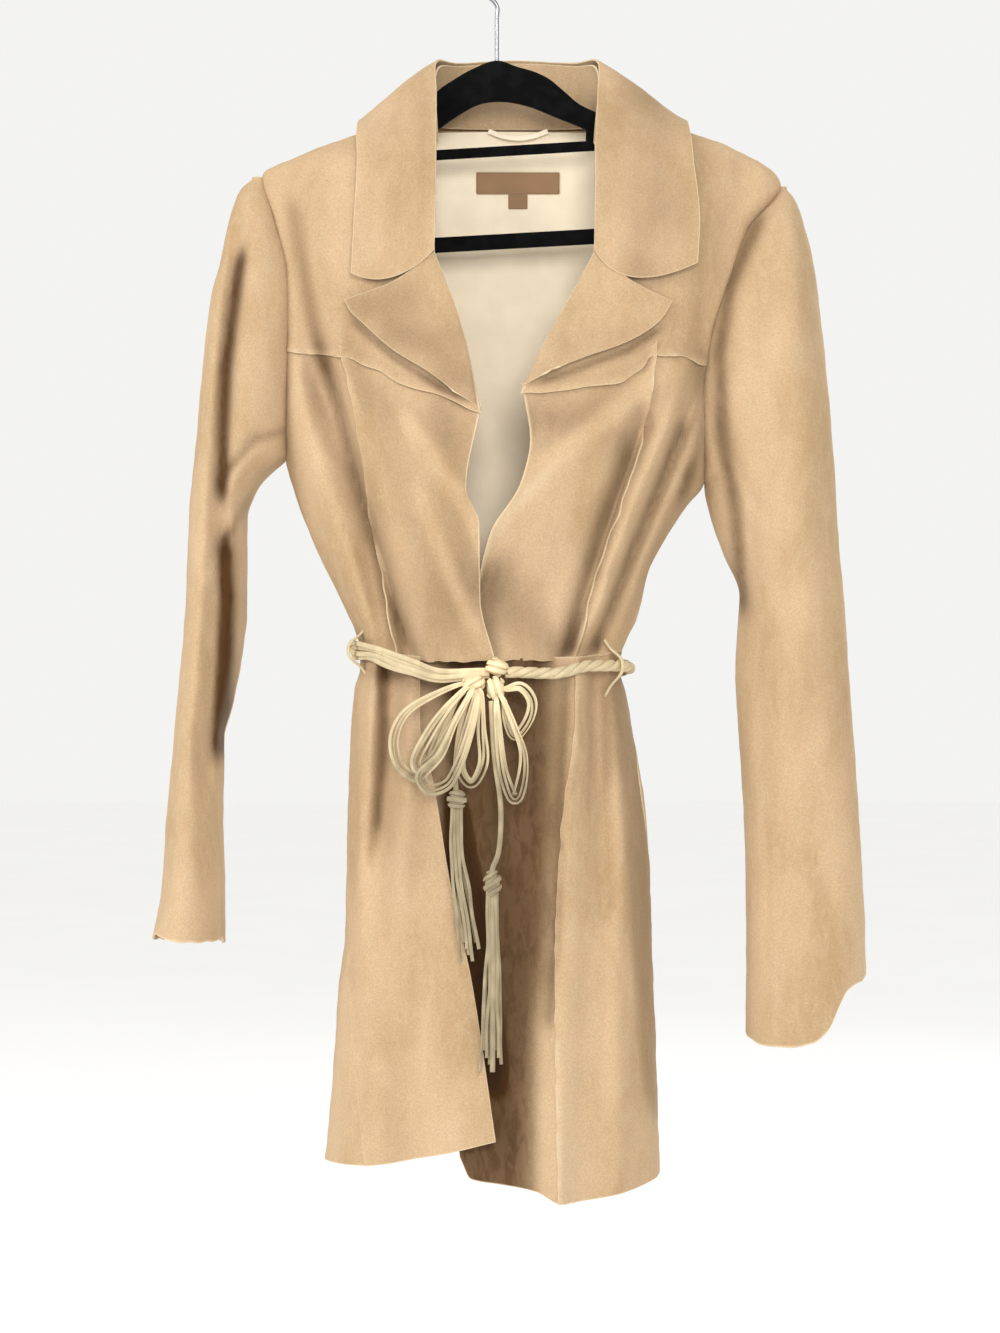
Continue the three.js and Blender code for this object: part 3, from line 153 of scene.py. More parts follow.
SKIRT_L_FOLDS = [
    ([(-30, -600), (-12, -780), (-2, -990)], -15, 30),
    ([(66, -580), (58, -680), (49, -990)], 8, 12),
    ([(78, -580), (80, -660), (84, -760)], -9, 9),
    ([(96, -590), (98, -760), (94, -990)], 6, 14),
    ([(20, -580), (22, -640), (24, -720)], 3, 6),
    ([(40, -576), (34, -640), (28, -780)], -4, 8),
    ([(112, -600), (112, -720), (112, -900)], -3.5, 8),
]
BACK_FOLDS = [
    ([(-70, -470), (-58, -570), (-66, -720)], -8, 16),
    ([(70, -460), (56, -570), (70, -740)], -8, 16),
    ([(0, -540), (4, -700), (0, -980)], 6, 26),
    ([(-110, -600), (-104, -760), (-112, -960)], 5, 22),
    ([(108, -600), (100, -780), (108, -960)], 5, 22),
]

# Seams and edges of each front seen from the front, as x and z, and the fold where the fronts cross
FRONTS = {
    "r": {
        "yoke": [(-167, -328), (-134, -332), (-106, -339), (-74, -356), (-49, -364), (-32, -370),
                 (-13, -381)],
        "neck": [(-86, -153), (-62, -172), (-51, -202), (-49, -254), (-34, -294), (-22, -336), (-13, -381)],
        "edge": [(-13, -381), (-24, -442), (-14, -469), (-13, -529), (-2, -573)],
        "princess": [(-119, -335), (-110, -372), (-102, -424), (-99, -462), (-87, -514), (-76, -570)],
        "shoulder": [(-96, -153), (-125, -200), (-124, -270)],
        "waist": [(-110, -564), (-76, -570), (-45, -574), (-2, -573)],
        "crossing": ([(-13, -400), (-16, -500), (-8, -572)], 4, 22),
    },
    "l": {
        "yoke": [(20, -364), (45, -362), (74, -358), (99, -354), (113, -344), (122, -334), (142, -333),
                 (169, -340)],
        "neck": [(118, -153), (92, -172), (79, -202), (76, -254), (56, -294), (37, -328), (20, -364)],
        "edge": [(20, -364), (26, -403), (18, -438), (-6, -478), (-18, -529), (-29, -573)],
        "princess": [(122, -334), (118, -368), (111, -404), (96, -449), (73, -516), (58, -573)],
        "shoulder": [(136, -153), (150, -200), (140, -270)],
        "waist": [(-29, -573), (16, -573), (58, -573), (78, -570), (101, -567)],
        "crossing": ([(18, -440), (-18, -529), (-29, -572)], -9, 22),
    },
}
# Lines of the waist and the skirt, as x and z; the back's are heights in even steps
SKIRT_TOP_R = [(-109, -564.8), (-76, -570.8), (-60, -573)]
SKIRT_TOP_L = [(-35, -573.6), (16, -573.6), (64, -573), (101, -567.6)]
SKIRT_EDGE_R = [(-60, -573), (-60, -622), (-49, -674), (-37, -745), (-19, -828), (-1, -948)]
SKIRT_EDGE_L = [(-35, -573.6), (-35, -685), (-32, -826), (-27, -965)]
SKIRT_SIDE_R = [(-109, -564.8), (-116, -640), (-118, -790), (-110, -882), (-101, -969)]
SKIRT_SIDE_L = [(101, -567.6), (110, -642), (122, -744), (127, -896), (130, -984)]
SKIRT_SEAM_L = [(64, -573), (64, -615), (53, -707), (48, -818), (50, -996)]
HEM_R = [(-101, -969), (-60, -962), (-1, -948)]
HEM_L = [(-27, -965), (-20, -979), (31, -988), (50, -996), (101, -990), (130, -984)]
NECK_SEAM_BACK = [-153, -147, -146.5, -147, -153]
WAIST_BACK = [-567, -570, -572, -570, -564]
SKIRT_TOP_BACK = [-567.5, -570.5, -572.5, -570.5, -564.5]
HEM_BACK = [-984, -978, -974, -968, -962]

# Sleeve sections: height z, inner and outer x, half the front to back width, and the middle's y
SLEEVE_R = [
    (-192, -188, -196, 8, 0), (-198, -187, -203, 13, 0), (-207, -184, -208, 21, 0),
    (-222, -180, -213, 30, 0), (-240, -175, -217, 37, 0), (-259, -170, -221, 42, 0),
    (-287, -168, -228, 48, 0), (-351, -167, -236, 54, 0), (-414, -169, -241, 56, 0),
    (-424, -180, -242, 56, 0), (-436, -191, -243, 56, 0), (-461, -200, -245, 55, 1),
    (-536, -201, -249, 52, 6), (-577, -206, -252, 51, 6), (-610, -212, -255, 51, 4),
    (-639, -219, -257, 51, 0), (-699, -219, -262, 54, -7), (-750, -217, -265, 58, -12),
    (-803, -217, -274, 62, -16),
]
SLEEVE_L = [
    (-200, 224, 232, 8, 0), (-206, 219, 237, 14, 0), (-215, 213, 241, 22, 0), (-231, 202, 245.5, 32, 0),
    (-255, 191, 252, 38, 0),
    (-327, 169, 261, 46, 0), (-376, 165, 266, 48, 0), (-431, 166, 270, 48, 0), (-468, 173, 272, 46, 0),
    (-492, 182, 274, 44, 1), (-523, 194, 277, 42, 2), (-579, 191, 281, 40, 2), (-654, 195, 286, 40, 0),
    (-737, 198, 291, 43, -4), (-802, 199, 293, 47, -8), (-880, 198, 293, 52, -12),
]
SLEEVE_R_FOLDS = [
    ([(-206, -235), (-218, -420), (-217, -489), (-224, -560), (-228, -660)], -13, 8),
    ([(-228, -640), (-226, -700), (-224, -740)], -5, 6),
    ([(-200, -440), (-212, -470), (-226, -500)], -3, 5),
    ([(-174, -396), (-190, -404), (-208, -424)], -3.5, 5),
    ([(-204, -490), (-220, -510), (-236, -520)], 2, 5),
    ([(-206, -560), (-222, -580), (-240, -588)], -2.5, 6),
    ([(-238, -620), (-240, -700), (-246, -790)], 3, 10),
]
SLEEVE_L_FOLDS = [
    ([(176, -400), (197, -450), (200, -520)], -12, 9),
    ([(232, -240), (240, -420), (236, -560)], 5, 18),
    ([(206, -560), (212, -660), (216, -780)], -4, 8),
    ([(262, -300), (266, -460), (270, -600)], -2.5, 12),
    ([(186, -440), (206, -470), (224, -480)], 2.4, 6),
    ([(216, -700), (218, -780), (217, -870)], 2, 3),
]
# Turn from the sleeve's inner seam in degrees, and the height of the cuff's edge
CUFF_R = [(0, -800), (90, -803), (180, -797), (215, -790), (270, -794), (360, -796)]
CUFF_L = [
    (0, -873), (60, -878), (88, -875), (103, -864), (114, -846), (124, -834), (150, -828), (180, -825),
    (215, -828), (240, -836), (258, -862), (285, -872), (360, -873),
]
SLEEVES = {"r": (SLEEVE_R, SLEEVE_R_FOLDS, CUFF_R), "l": (SLEEVE_L, SLEEVE_L_FOLDS, CUFF_L)}

# Collar from the wearer's right round the back to the left: roll, middle and edge of the fall
FALL = [
    ((-49, -54, -255), (-82, -56, -276.5), (-114, -54, -273)),
    ((-48, -47, -210), (-80, -49, -226), (-112, -47, -228)),
    ((-48, -31, -160), (-80, -37, -176), (-110, -37, -184)),
    ((-48, -14, -124), (-80, -19, -144), (-111, -21, -158)),
    ((-48, 4, -97), (-80, 4, -119), (-108, 4, -144)),
    ((-30, 37, -91), (-50, 46, -120), (-78, 54, -160)),
    ((16, 46, -87), (16, 53, -115), (16, 57, -166)),
    ((62, 37, -91), (86, 46, -120), (118, 54, -160)),
    ((80, 4, -97), (116, 4, -119), (149, 4, -144)),
    ((80, -14, -124), (116, -20, -144), (153, -24, -159)),
    ((78, -31, -160), (115, -37, -176), (155, -37, -184)),
    ((77, -47, -210), (116, -49, -228), (159, -47, -226)),
    ((76, -54, -255), (107, -56, -276.5), (157, -54, -265)),
]
# Foot and top of the stand
STAND = [
    ((-57, -27, -186), (-46.5, -24, -166)), ((-84, -8, -146.5), (-47, 3, -103)),
    ((-38, 31, -144.5), (-29, 33, -94)), ((16, 37.5, -144.5), (16, 42, -90)),
    ((70, 31, -144.5), (61, 33, -94)), ((117, -8, -146.5), (79, 3, -103)),
    ((86, -27, -186), (76.5, -24, -166)),
]
LAPELS = {
    "r": {
        "top": [(-119, -294), (-82, -280), (-49, -256)],
        "outer": [(-119, -294), (-115, -302), (-105, -312), (-82, -333), (-52, -352), (-33, -366)],
        "roll": [(-49, -256), (-34, -294), (-22, -336), (-15, -378)],
    },
    "l": {
        "top": [(76, -256), (107, -280), (137, -295)],
        "outer": [(137, -295), (130, -307), (122, -315), (102, -327), (64, -341), (42, -349)],
        "roll": [(76, -256), (56, -294), (37, -328), (21, -361)],
    },
}
# How far a lapel's face stands off the front at its roll and its outer edge, and the space behind it
LAPEL_LIFT = {"roll": 1.4, "outer": 6, "clear": 0.4}

# Hanger: thickness, where its arms start and end, and the outline between them above and below
HANGER_THICK = 7
HANGER_SEAT = 3.2
ARM_R, ARM_L, TIP_DEPTH = (-171, -100), (134, 206), 20
ARCH_TOP = [
    (-88, -156), (-62, -141), (-48, -121), (-34, -111), (-20, -103), (0, -96), (16, -101), (30, -105),
    (42, -111), (54, -121), (66, -131), (83, -139), (120, -155),
]
ARCH_UNDER = [
    (150, -192), (84, -158), (72, -152), (66, -149), (46, -141), (26, -133), (6, -129), (-14, -131),
    (-34, -142), (-48, -152), (-72, -172), (-120, -196),
]
HOOK_WIRE = 3.6
HOOK_RADIUS = 21
HOOK_SHANK = (-96.5, -80, -62, -52)
BARS = {
    "hanger_tie_bar": {"start": (-64, -172.5), "stop": (78, -164), "thick": 6, "tall": 8, "leg": 7},
    "hanger_trouser_bar": {"start": (-144, -249), "stop": (160, -232), "thick": 7, "tall": 12, "leg": 11},
}

# Belt: turn round the body in degrees and height; then how far it stands off
BELT_HEIGHT = [
    (-90, -565), (-50, -571), (-30, -580), (-14, -588), (4, -585), (20, -586), (40, -580), (60, -580),
    (90, -582), (180, -578), (270, -565),
]
BELT_AT_SIDE, BELT_AT_FRONT, BELT_SLACK = 8, 9, 4
WAIST_MIDDLE = -4.0
# Runs of laces side by side: first and last degree, points, and how wide they stay at the last end
FLAT_RUNS = {"belt_front_r": (-89.6, -0.05, 90, 0.3), "belt_back": (90.4, 269.6, 150, 0.55)}
ROPE = {"degrees": (3.9, 89.6, 110), "strands": 3, "pitch": 34, "radius": 2.5, "lace": (5.4, 4.2)}
CARRIERS = {
    "belt_loop_r": {"turn": -68, "above": 20, "below": 20},
    "belt_loop_l": {"turn": 58, "above": 20, "below": 24},
}
# A carrier's points: how far out from the belt, the height, and the share of its length above or below
CARRIER_LINE = ((-8.6, 0, 1), (-3.5, 0, 0.66), (6.2, 4.5, 0), (6.2, -4.5, 0), (-3.5, 0, -0.66), (-8.6, 0, -1))
CARRIER_LACE = (4.0, 2.2)
# Shares of a knot's size taken by its core and by the lace wound round it
KNOT = {"core": 0.82, "winding": 0.93}
KNOTS = {
    "knot_top": ((0, -76, -581), (8.6, 7.4, 7.2), 25),
    "knot_left": ((-18, -78, -593.5), (9, 7.4, 6.6), -30),
    "knot_right": ((-1, -79, -597.5), (7.9, 7.4, 9.4), 80),
}
BOW_LOOPS = {
    "bow_loop_1": [
        (-27.7, -79, -594), (-46, -80, -601), (-70, -79, -616), (-80, -77, -634), (-80, -76, -651),
        (-74, -76, -662), (-62, -77, -668), (-54, -78, -660), (-42, -80, -630), (-30.5, -80.5, -606)],
    "bow_loop_2": [
        (-23.3, -84.9, -596.6), (-40, -86, -614), (-54, -85, -634), (-64, -84, -655), (-61, -84, -661),
        (-50, -84, -655), (-36, -86, -630), (-22, -86.5, -603.5)],
    "bow_loop_3": [
        (-19, -91, -599), (-32, -91, -623), (-44, -90, -648), (-60, -88, -666), (-52, -88, -677),
        (-38, -88, -673), (-30, -89, -660), (-20, -90.5, -630), (-15, -89, -603)],
    "bow_loop_4": [
        (-12.4, -84.4, -600), (-12, -85.8, -630), (-12, -84.6, -656), (-20, -83, -670), (-27, -83, -660),
        (-24, -84.4, -636), (-17, -84.4, -603.5)],
    "bow_loop_5": [
        (7.5, -80, -598), (18, -80, -597), (26, -80, -608), (24, -80, -622), (14, -80, -634),
        (8, -79, -622), (5.5, -77, -607)],
    "bow_loop_6": [
        (3.1, -85.3, -603.6), (14, -87, -630), (20, -87, -648), (19, -87, -668), (14, -87, -682),
        (6, -87, -664), (0, -87, -608.5)],
}
RIGHT_LOOPS = ("bow_loop_5", "bow_loop_6")
# The three laces of a bow loop: how far aside and behind each lies, and its turn
LOOP_LACE = {"narrower": 0.62, "thick": 0.8, "places": ((2.4, 0.0, 0.5), (-0.8, 1.6, -0.7), (-4.4, 0.6, 1.0))}
STRAND_LACE = (2.8, 1.2)
# Tones of the laces' suede as shares of the lace's colour
LACE_TONES = {"light": 1, "mid": 0.86, "brushed": 1.05, "pale": 1.4, "deep": 0.42, "edge": 1.1}
# Laces are palest round the knots, and lower down they get painted shade, as in the shade of the skirt
LACE_PALE = {"x": -8, "z": -592, "reach": 34, "amount": 0.8}
LACE_DARK = {"from": -612, "to": -690, "amount": 0.8}
TAILS = {
    "lace_tail_r": [(-21, -75, -600.5), (-29, -77, -630), (-32, -80, -660), (-31.6, -84, -675.2)],
    "lace_tail_l": [
        (-4.5, -79, -607.2), (-2, -80.5, -650), (3, -82, -690), (1, -85, -725), (-3.3, -87, -736.6)],
}
TASSELS = {
    "tassel_r": {"knot": (-31, -84, -683.5), "size": (7.4, 6.5, 8), "top": -690, "length": 118,
                 "lean": 10, "strands": 7, "spread": 7, "tail": "lace_tail_r"},
    "tassel_l": {"knot": (-3.5, -87, -748), "size": (7, 6.5, 11), "top": -757, "length": 136,
                 "lean": -1, "strands": 8, "spread": 8, "tail": "lace_tail_l"},
}
HANG_LOOP = [(-7, 30.5, -147), (4, 30, -151), (17, 29.5, -153), (30, 30, -151), (41, 30.5, -147)]
HANG_LOOP_TAPE = (4.4, 1.8)
TAGS = {
    "label": {"x": 17, "z": -188, "wide": 67, "tall": 17, "lift": 1.0},
    "size_tag": {"x": 17, "z": -203, "wide": 15, "tall": 11, "lift": 0.8},
}
TAG_THICK = 0.6
# Lining: space behind it, how dark its shade is, where its cross seam lies down the back, and the
# stretch across the back that it covers
LINING = {"clear": 0.7, "shade": 0.8, "seam": 0.3, "columns": (2 / 14, 12 / 14, 110)}

# Stage: the camera in millimetres, the rest in metres and watts, and the light's tint and strength
CAMERA = {"view_height": 1066.4, "distance": 2400.0, "x": 2.4, "z": -580.6}
FLOOR_HALF, FLOOR_HEIGHT = 14.0, -1.32
STUDIO = (1.0, 0.995, 0.98, 1), 0.9
LIGHTS = {
    "key": ((-2.4, -1.7, 0.9), 1.2, 48),
    "front": ((0.3, -3.0, 0.2), 1.0, 48),
    "back": ((1.6, 2.2, 0.8), 1.6, 20),
}
LIT_POINT = (0, 0, -0.5)

# Painted light on the suede, paler (above 0) as painted highlight or darker (below 0) as painted shade: a
# line of points, the change and half the width
# The front's painted shade in folds, under the lapels and by the armholes, painted highlight on lit folds,
# and paler brushed streaks
PAINTED_LIGHT_AND_BRUSHING_FRONT = [
    ([(-160, -225), (-152, -270), (-141, -330)], -0.42, 9),
    ([(-134, -345), (-118, -405), (-100, -468), (-80, -545)], -0.46, 7.5),
    ([(-90, -385), (-66, -450), (-44, -540)], -0.2, 34),
    ([(-40, -384), (-33, -410), (-29, -438)], -0.26, 17),
    ([(-110, -313), (-82, -338), (-52, -358), (-30, -373)], -0.4, 4),
    ([(122, -320), (102, -333), (64, -348), (40, -356)], -0.42, 4),
    ([(-66, -396), (-48, -424), (-24, -455), (-15, -476)], 0.4, 6),
    ([(-57, -455), (-33, -519), (-13, -561)], 0.26, 6),
    ([(-105, -360), (-84, -380), (-60, -395)], -0.14, 14),
    ([(34, -388), (62, -390), (90, -378)], -0.44, 24),
    ([(126, -352), (108, -368), (53, -414), (17, -453), (-2, -480)], 0.4, 9),
    ([(100, -418), (84, -464), (69, -512), (58, -560)], -0.44, 8),
    ([(6, -508), (34, -494), (56, -474)], -0.2, 34),
    ([(-2, -520), (18, -545), (40, -560)], -0.3, 26),
    ([(163, -345), (160, -400), (150, -438)], -0.35, 7),
    ([(150, -432), (128, -482), (104, -540)], -0.32, 8),
    ([(98, -470), (84, -520), (70, -566)], 0.22, 4),
    ([(144, -395), (112, -475), (78, -562)], -0.5, 5.5),
    ([(160, -260), (157, -300), (155, -340)], -0.2, 8),
    ([(120, -215), (118, -300)], -0.1, 30),
]
# The skirt's painted shade in folds, under the belt and at the sides, with a painted highlight on one lit rib
PAINTED_LIGHT_SKIRT = [
    ([(-90, -580), (-90, -640), (-94, -700)], -0.55, 6),
    ([(-70, -590), (-66, -660), (-68, -720)], -0.22, 22),
    ([(-110, -582), (-74, -590), (-46, -600)], -0.26, 8),
    ([(-126, -830), (-124, -900), (-122, -960)], -0.42, 16),
    ([(-88, -840), (-78, -960)], -0.12, 14),
    ([(54, -590), (50, -700), (47, -790), (42, -850)], -0.5, 6),
    ([(64, -650), (58, -800), (56, -990)], 0.2, 7),
    ([(73, -590), (73, -640), (70, -690)], -0.3, 5),
    ([(86, -600), (88, -660)], -0.3, 7),
]
# Broad painted shade on the skirt with firmer sides: under the crossed front, where it deepens to the painted
# shadow of the hollow, and along the side
SHADE_SKIRT = [
    ([(0, -566), (0, -700), (-4, -790), (-14, -860), (-14, -1000)], -0.8, 46),
    ([(-32, -700), (-21, -760), (-11, -820), (-3, -890)], -0.6, 11),
    ([(110, -585), (119, -700), (126, -800), (134, -900)], -0.46, 22),
]
# Painted shade of the sleeves' grooves, folds and armhole seams
PAINTED_SHADE_SLEEVE = [
    ([(-203, -265), (-213, -347), (-216, -438)], -0.9, 7),
    ([(-214, -494), (-213, -527), (-215, -575), (-219, -638)], -1.1, 8),
    ([(-172, -396), (-190, -404), (-204, -420)], -0.42, 5),
    ([(-186, -436), (-198, -450), (-208, -472)], -0.38, 4.5),
    ([(204, -234), (184, -280), (175, -335), (178, -400), (188, -460), (195, -525)], -0.62, 8),
    ([(200, -560), (204, -640), (206, -700)], -0.18, 12),
    ([(236, -230), (252, -330), (262, -480), (270, -620)], -0.1, 16),
]
# Painted shade on the collar's leaves
PAINTED_SHADE_COLLAR = [
    ([(-74, -137), (-117, -265)], -0.12, 30),
    ([(-58, -130), (-58, -250)], -0.12, 8),
    ([(122, -130), (118, -262)], -0.34, 36),
]
# Painted shade on the lapels
PAINTED_SHADE_LAPEL = [
    ([(-110, -298), (-70, -315), (-38, -350)], -0.36, 30),
    ([(122, -300), (84, -318), (46, -344)], -0.16, 30),
]


def smooth(keys, values):
    """Curve through a table's rows with no overshoot, as a function of arrays."""
    keys, values = np.asarray(keys, float), np.asarray(values, float)
    steps = np.diff(keys)
    slopes = np.diff(values) / steps
    tangents = np.empty_like(values)
    tangents[0], tangents[-1] = slopes[0], slopes[-1]
    before, after = slopes[:-1], slopes[1:]
    total = np.where(before + after == 0, 1, before + after)
    tangents[1:-1] = np.where(before * after <= 0, 0, 2 * before * after / total)

    def at(x):
        x = np.asarray(x, float)
        i = np.clip(np.searchsorted(keys, x) - 1, 0, len(steps) - 1)
        t = np.clip((x - keys[i]) / steps[i], 0, 1)
        bend = tangents[i] * steps[i] * (t**3 - 2 * t**2 + t) + tangents[i + 1] * steps[i] * (t**3 - t**2)
        return values[i] + (values[i + 1] - values[i]) * t * t * (3 - 2 * t) + bend
    return at


def by_height(rows, column):
    """A table's column as a smooth function of the height in its first column."""
    drop = smooth([-row[0] for row in rows], [row[column] for row in rows])
    return lambda z: drop(-np.asarray(z, float))


def track(points):
    """Smooth line through points, from 0 at its start to 1 at its end."""
    points = np.asarray(points, float)
    lengths = np.concatenate([[0], np.cumsum(np.linalg.norm(np.diff(points, axis=0), axis=1))])
    columns = [smooth(lengths, points[:, k]) for k in range(points.shape[1])]
    return lambda t: np.stack([column(np.asarray(t, float) * lengths[-1]) for column in columns], axis=-1)


def spline(points):
    """Rounded line through points by their distances, from 0 at its start to 1 at its end."""
    points = np.asarray(points, float)
    knots = np.concatenate([[0], np.cumsum(np.linalg.norm(np.diff(points, axis=0), axis=1) ** 0.5)])
    ends = np.vstack([2 * points[0] - points[1], points, 2 * points[-1] - points[-2]])
    knot_ends = np.concatenate([[knots[0] - knots[1]], knots, [2 * knots[-1] - knots[-2]]])

    def at(t):
        x = np.asarray(t, float) * knots[-1]
        i = np.clip(np.searchsorted(knots, x) - 1, 0, len(knots) - 2)
        p = [ends[i + k] for k in range(4)]
        k0, k1, k2, k3 = [knot_ends[i + k][..., None] for k in range(4)]
        x = x[..., None]
        a1 = p[0] * (k1 - x) / (k1 - k0) + p[1] * (x - k0) / (k1 - k0)
        a2 = p[1] * (k2 - x) / (k2 - k1) + p[2] * (x - k1) / (k2 - k1)
        a3 = p[2] * (k3 - x) / (k3 - k2) + p[3] * (x - k2) / (k3 - k2)
        b1 = a1 * (k2 - x) / (k2 - k0) + a2 * (x - k0) / (k2 - k0)
        b2 = a2 * (k3 - x) / (k3 - k1) + a3 * (x - k1) / (k3 - k1)
        return b1 * (k2 - x) / (k2 - k1) + b2 * (x - k1) / (k2 - k1)
    return at


def spaced(count, margin):
    """From 0 to 1 in even steps, with a narrow first and last step that keep an edge crisp."""
    return np.concatenate([[0], np.linspace(margin, 1 - margin, count - 1), [1]])


def ripple(points, size, seed):
    """Gentle waves of about a size in millimetres, from -1 to 1 and always the same at a place."""
    rng = np.random.default_rng(seed)
    directions = rng.normal(size=(8, points.shape[-1]))
    directions /= np.linalg.norm(directions, axis=1)[:, None]
    waves = 2 * np.pi / (size * rng.uniform(0.6, 1.7, 8))
    phases = rng.uniform(0, 2 * np.pi, 8)
    return np.sin(points @ (directions * waves[:, None]).T + phases).mean(-1) * 1.8


def ease(x):
    """From 0 to 1 with level ends."""
    x = np.clip(x, 0, 1)
    return x * x * (3 - 2 * x)


side_r = by_height(SIDE_R, 1)
side_l = by_height(SIDE_L, 1)
depth_front = by_height(DEPTH, 1)
depth_back = by_height(DEPTH, 2)
belt_height = smooth([row[0] for row in BELT_HEIGHT], [row[1] for row in BELT_HEIGHT])


def armhole_half(side, z):
    """Half the width of the armhole, front to back, at a height."""
    top, bottom = ARMHOLE[side]
    along = np.clip((top - z) / (top - bottom), 0, 1)
    return SIDE_GAP + ARMHOLE_DEPTH * np.sin(np.pi * along) ** 0.7


def turn_at(x, z):
    """Turn round the body at x and z on the front: -90 degrees at the -X side, 0 in front."""
    middle, half = (side_r(z) + side_l(z)) / 2, (side_l(z) - side_r(z)) / 2
    n = np.clip((x - middle) / half, -1, 1)
    return np.sign(n) * np.arcsin(np.abs(n) ** (1 / ROUNDNESS))


def strokes(lines, x, z, power=2):
    """Sum at x and z of soft strokes along lines, which fade past their ends; a higher power is flatter."""
    total = np.zeros(np.broadcast(x, z).shape)
    for line, amount, width in lines:
        nearest = np.full(total.shape, np.inf)
        for (ax, az), (bx, bz) in zip(line[:-1], line[1:]):
            length = math.hypot(bx - ax, bz - az)
            dx, dz = (bx - ax) / length, (bz - az) / length
            along = (x - ax) * dx + (z - az) * dz
            past = along - np.clip(along, 0, length)
            nearest = np.minimum(nearest, np.hypot((x - ax) * dz - (z - az) * dx, past / END_FADE))
        total = total + amount * np.exp(-((nearest / width) ** power))
    return total


def body_points(grid, face, folds=(), lift=0):
    """Points of the body's outer surface; the grid holds turn and height, and face is -1 or 1."""
    turn, z = grid[..., 0], grid[..., 1]
    sin, cos = np.sin(turn), np.cos(turn)
    middle, half = (side_r(z) + side_l(z)) / 2, (side_l(z) - side_r(z)) / 2
    x = middle + half * np.sign(sin) * np.abs(sin) ** ROUNDNESS
    facing = np.where(np.abs(cos) < 1e-6, face, -np.sign(cos))
    depth = np.where(facing < 0, depth_front(z), depth_back(z))
    gap = np.minimum(np.where(sin < 0, armhole_half("r", z), armhole_half("l", z)), depth)
    rise = strokes(folds, x, z) * np.minimum(1, 2 * np.abs(cos)) + lift
    return np.stack([x, facing * (gap + (depth - gap) * np.abs(cos) ** ROUNDNESS + rise), z], axis=-1)


def patch(top, bottom, left, right, us, vs):
    """Grid between four edges that meet at its corners."""
    u, v = us[None, :, None], vs[:, None, None]
    corners = [top(0.0), top(1.0), bottom(0.0), bottom(1.0)]
    across = (1 - v) * top(us)[None] + v * bottom(us)[None]
    down = (1 - u) * left(vs)[:, None] + u * right(vs)[:, None]
    upper = (1 - v) * ((1 - u) * corners[0] + u * corners[1])
    lower = v * ((1 - u) * corners[2] + u * corners[3])
    return across + down - upper - lower


def seam(points, start=0.0, stop=1.0, onward=0.0):
    """Edge drawn in x and z, as turn and height."""
    line = track(points)

    def at(t):
        x, z = np.moveaxis(line(start + (stop - start) * np.asarray(t, float)), -1, 0)
        return np.stack([turn_at(x, z) + onward, z], axis=-1)
    return at


def side_edge(side, top, bottom, turn=None):
    """Edge along a side of the body between two heights, evenly spaced along the outline."""
    z = np.linspace(top, bottom, 41)
    line = track(np.stack([(side_r if side == "r" else side_l)(z), z], axis=-1))
    turn = (-np.pi / 2 if side == "r" else np.pi / 2) if turn is None else turn

    def at(t):
        height = line(t)[..., 1]
        return np.stack([np.full(height.shape, turn), height], axis=-1)
    return at


def split_at(points, x):
    """Where a line first reaches x, from 0 to 1."""
    t = np.linspace(0, 1, 401)
    return t[np.argmax(track(points)(t)[:, 0] >= x)]


def to_edge(grid, edge):
    """The grid turned so that an edge is its last row; the same turn undoes it."""
    return {"bottom": grid, "top": grid[::-1], "right": np.swapaxes(grid, 0, 1),
            "left": np.swapaxes(grid[:, ::-1], 0, 1)}[edge]


def from_edge(grid, edge):
    """Undoes to_edge."""
    return {"bottom": grid, "top": grid[::-1], "right": np.swapaxes(grid, 0, 1),
            "left": np.swapaxes(grid, 0, 1)[:, ::-1]}[edge]


def lap(grid, lift, edge, face, folds, over, height, seed):
    """Carries a panel past a seam by some millimetres and lifts its raw edge off the next panel."""
    turned, raised = to_edge(grid, edge), to_edge(lift[..., None], edge)[..., 0]
    last, before = turned[-1], turned[-3]
    step = np.linalg.norm(body_points(last, face, folds) - body_points(before, face, folds), axis=-1)
    wave = ripple(np.arange(len(last))[:, None] * 3.0, LAP_WAVE, seed)
    reach_out = over * (1 + 0.28 * wave)
    parts = np.array([0.5, 0.85, 1.0])
    added = [last + (last - before) / step[:, None] * (reach_out * part)[:, None] for part in parts]
    turned = np.concatenate([turned, added])
    raised = np.concatenate([raised, np.repeat(raised[-1:], len(parts), axis=0)])
    points = body_points(turned, face, folds)
    gaps = np.linalg.norm(np.diff(points[::-1], axis=0), axis=-1)
    away = np.concatenate([np.zeros((1, gaps.shape[1])), np.cumsum(gaps, axis=0)])[::-1]
    raised = raised + height * (1 + 0.3 * wave)[None] * ease(1 - away / LAP_REACH)
    return from_edge(turned, edge), from_edge(raised[..., None], edge)[..., 0]


def lapped(grid, face, folds, laps):
    """Outer points of a panel with its laps, and how much paler it is along the raised ones.

    A lap is the edge, how far it goes past the seam, how high it rises and the seed of its waves.
    """
    lift = np.zeros(grid.shape[:2])
    for edge, over, height, seed in laps:
        grid, lift = lap(grid, lift, edge, face, folds, over, height, seed)
    highest = max(height for _, _, height, _ in laps) or 1.0
    return body_points(grid, face, folds, lift), LAP_PALE * np.clip(lift / highest, 0, 1) ** 3


def normals(points, closed=False):
    """Unit normals of a grid of points; closed means its last column meets its first."""
    down = np.gradient(points, axis=0)
    if closed:
        ring = points[:, :-1]
        across = (np.roll(ring, -1, axis=1) - np.roll(ring, 1, axis=1)) / 2
        across = np.concatenate([across, across[:, :1]], axis=1)
    else:
        across = np.gradient(points, axis=1)
    normal = np.cross(down, across)
    return normal / np.maximum(np.linalg.norm(normal, axis=-1), 1e-9)[..., None]


def quads(a, b, c, d):
    """Faces with a corner from each of four grids of points."""
    return np.stack([a, b, c, d], axis=-1).reshape(-1, 4)


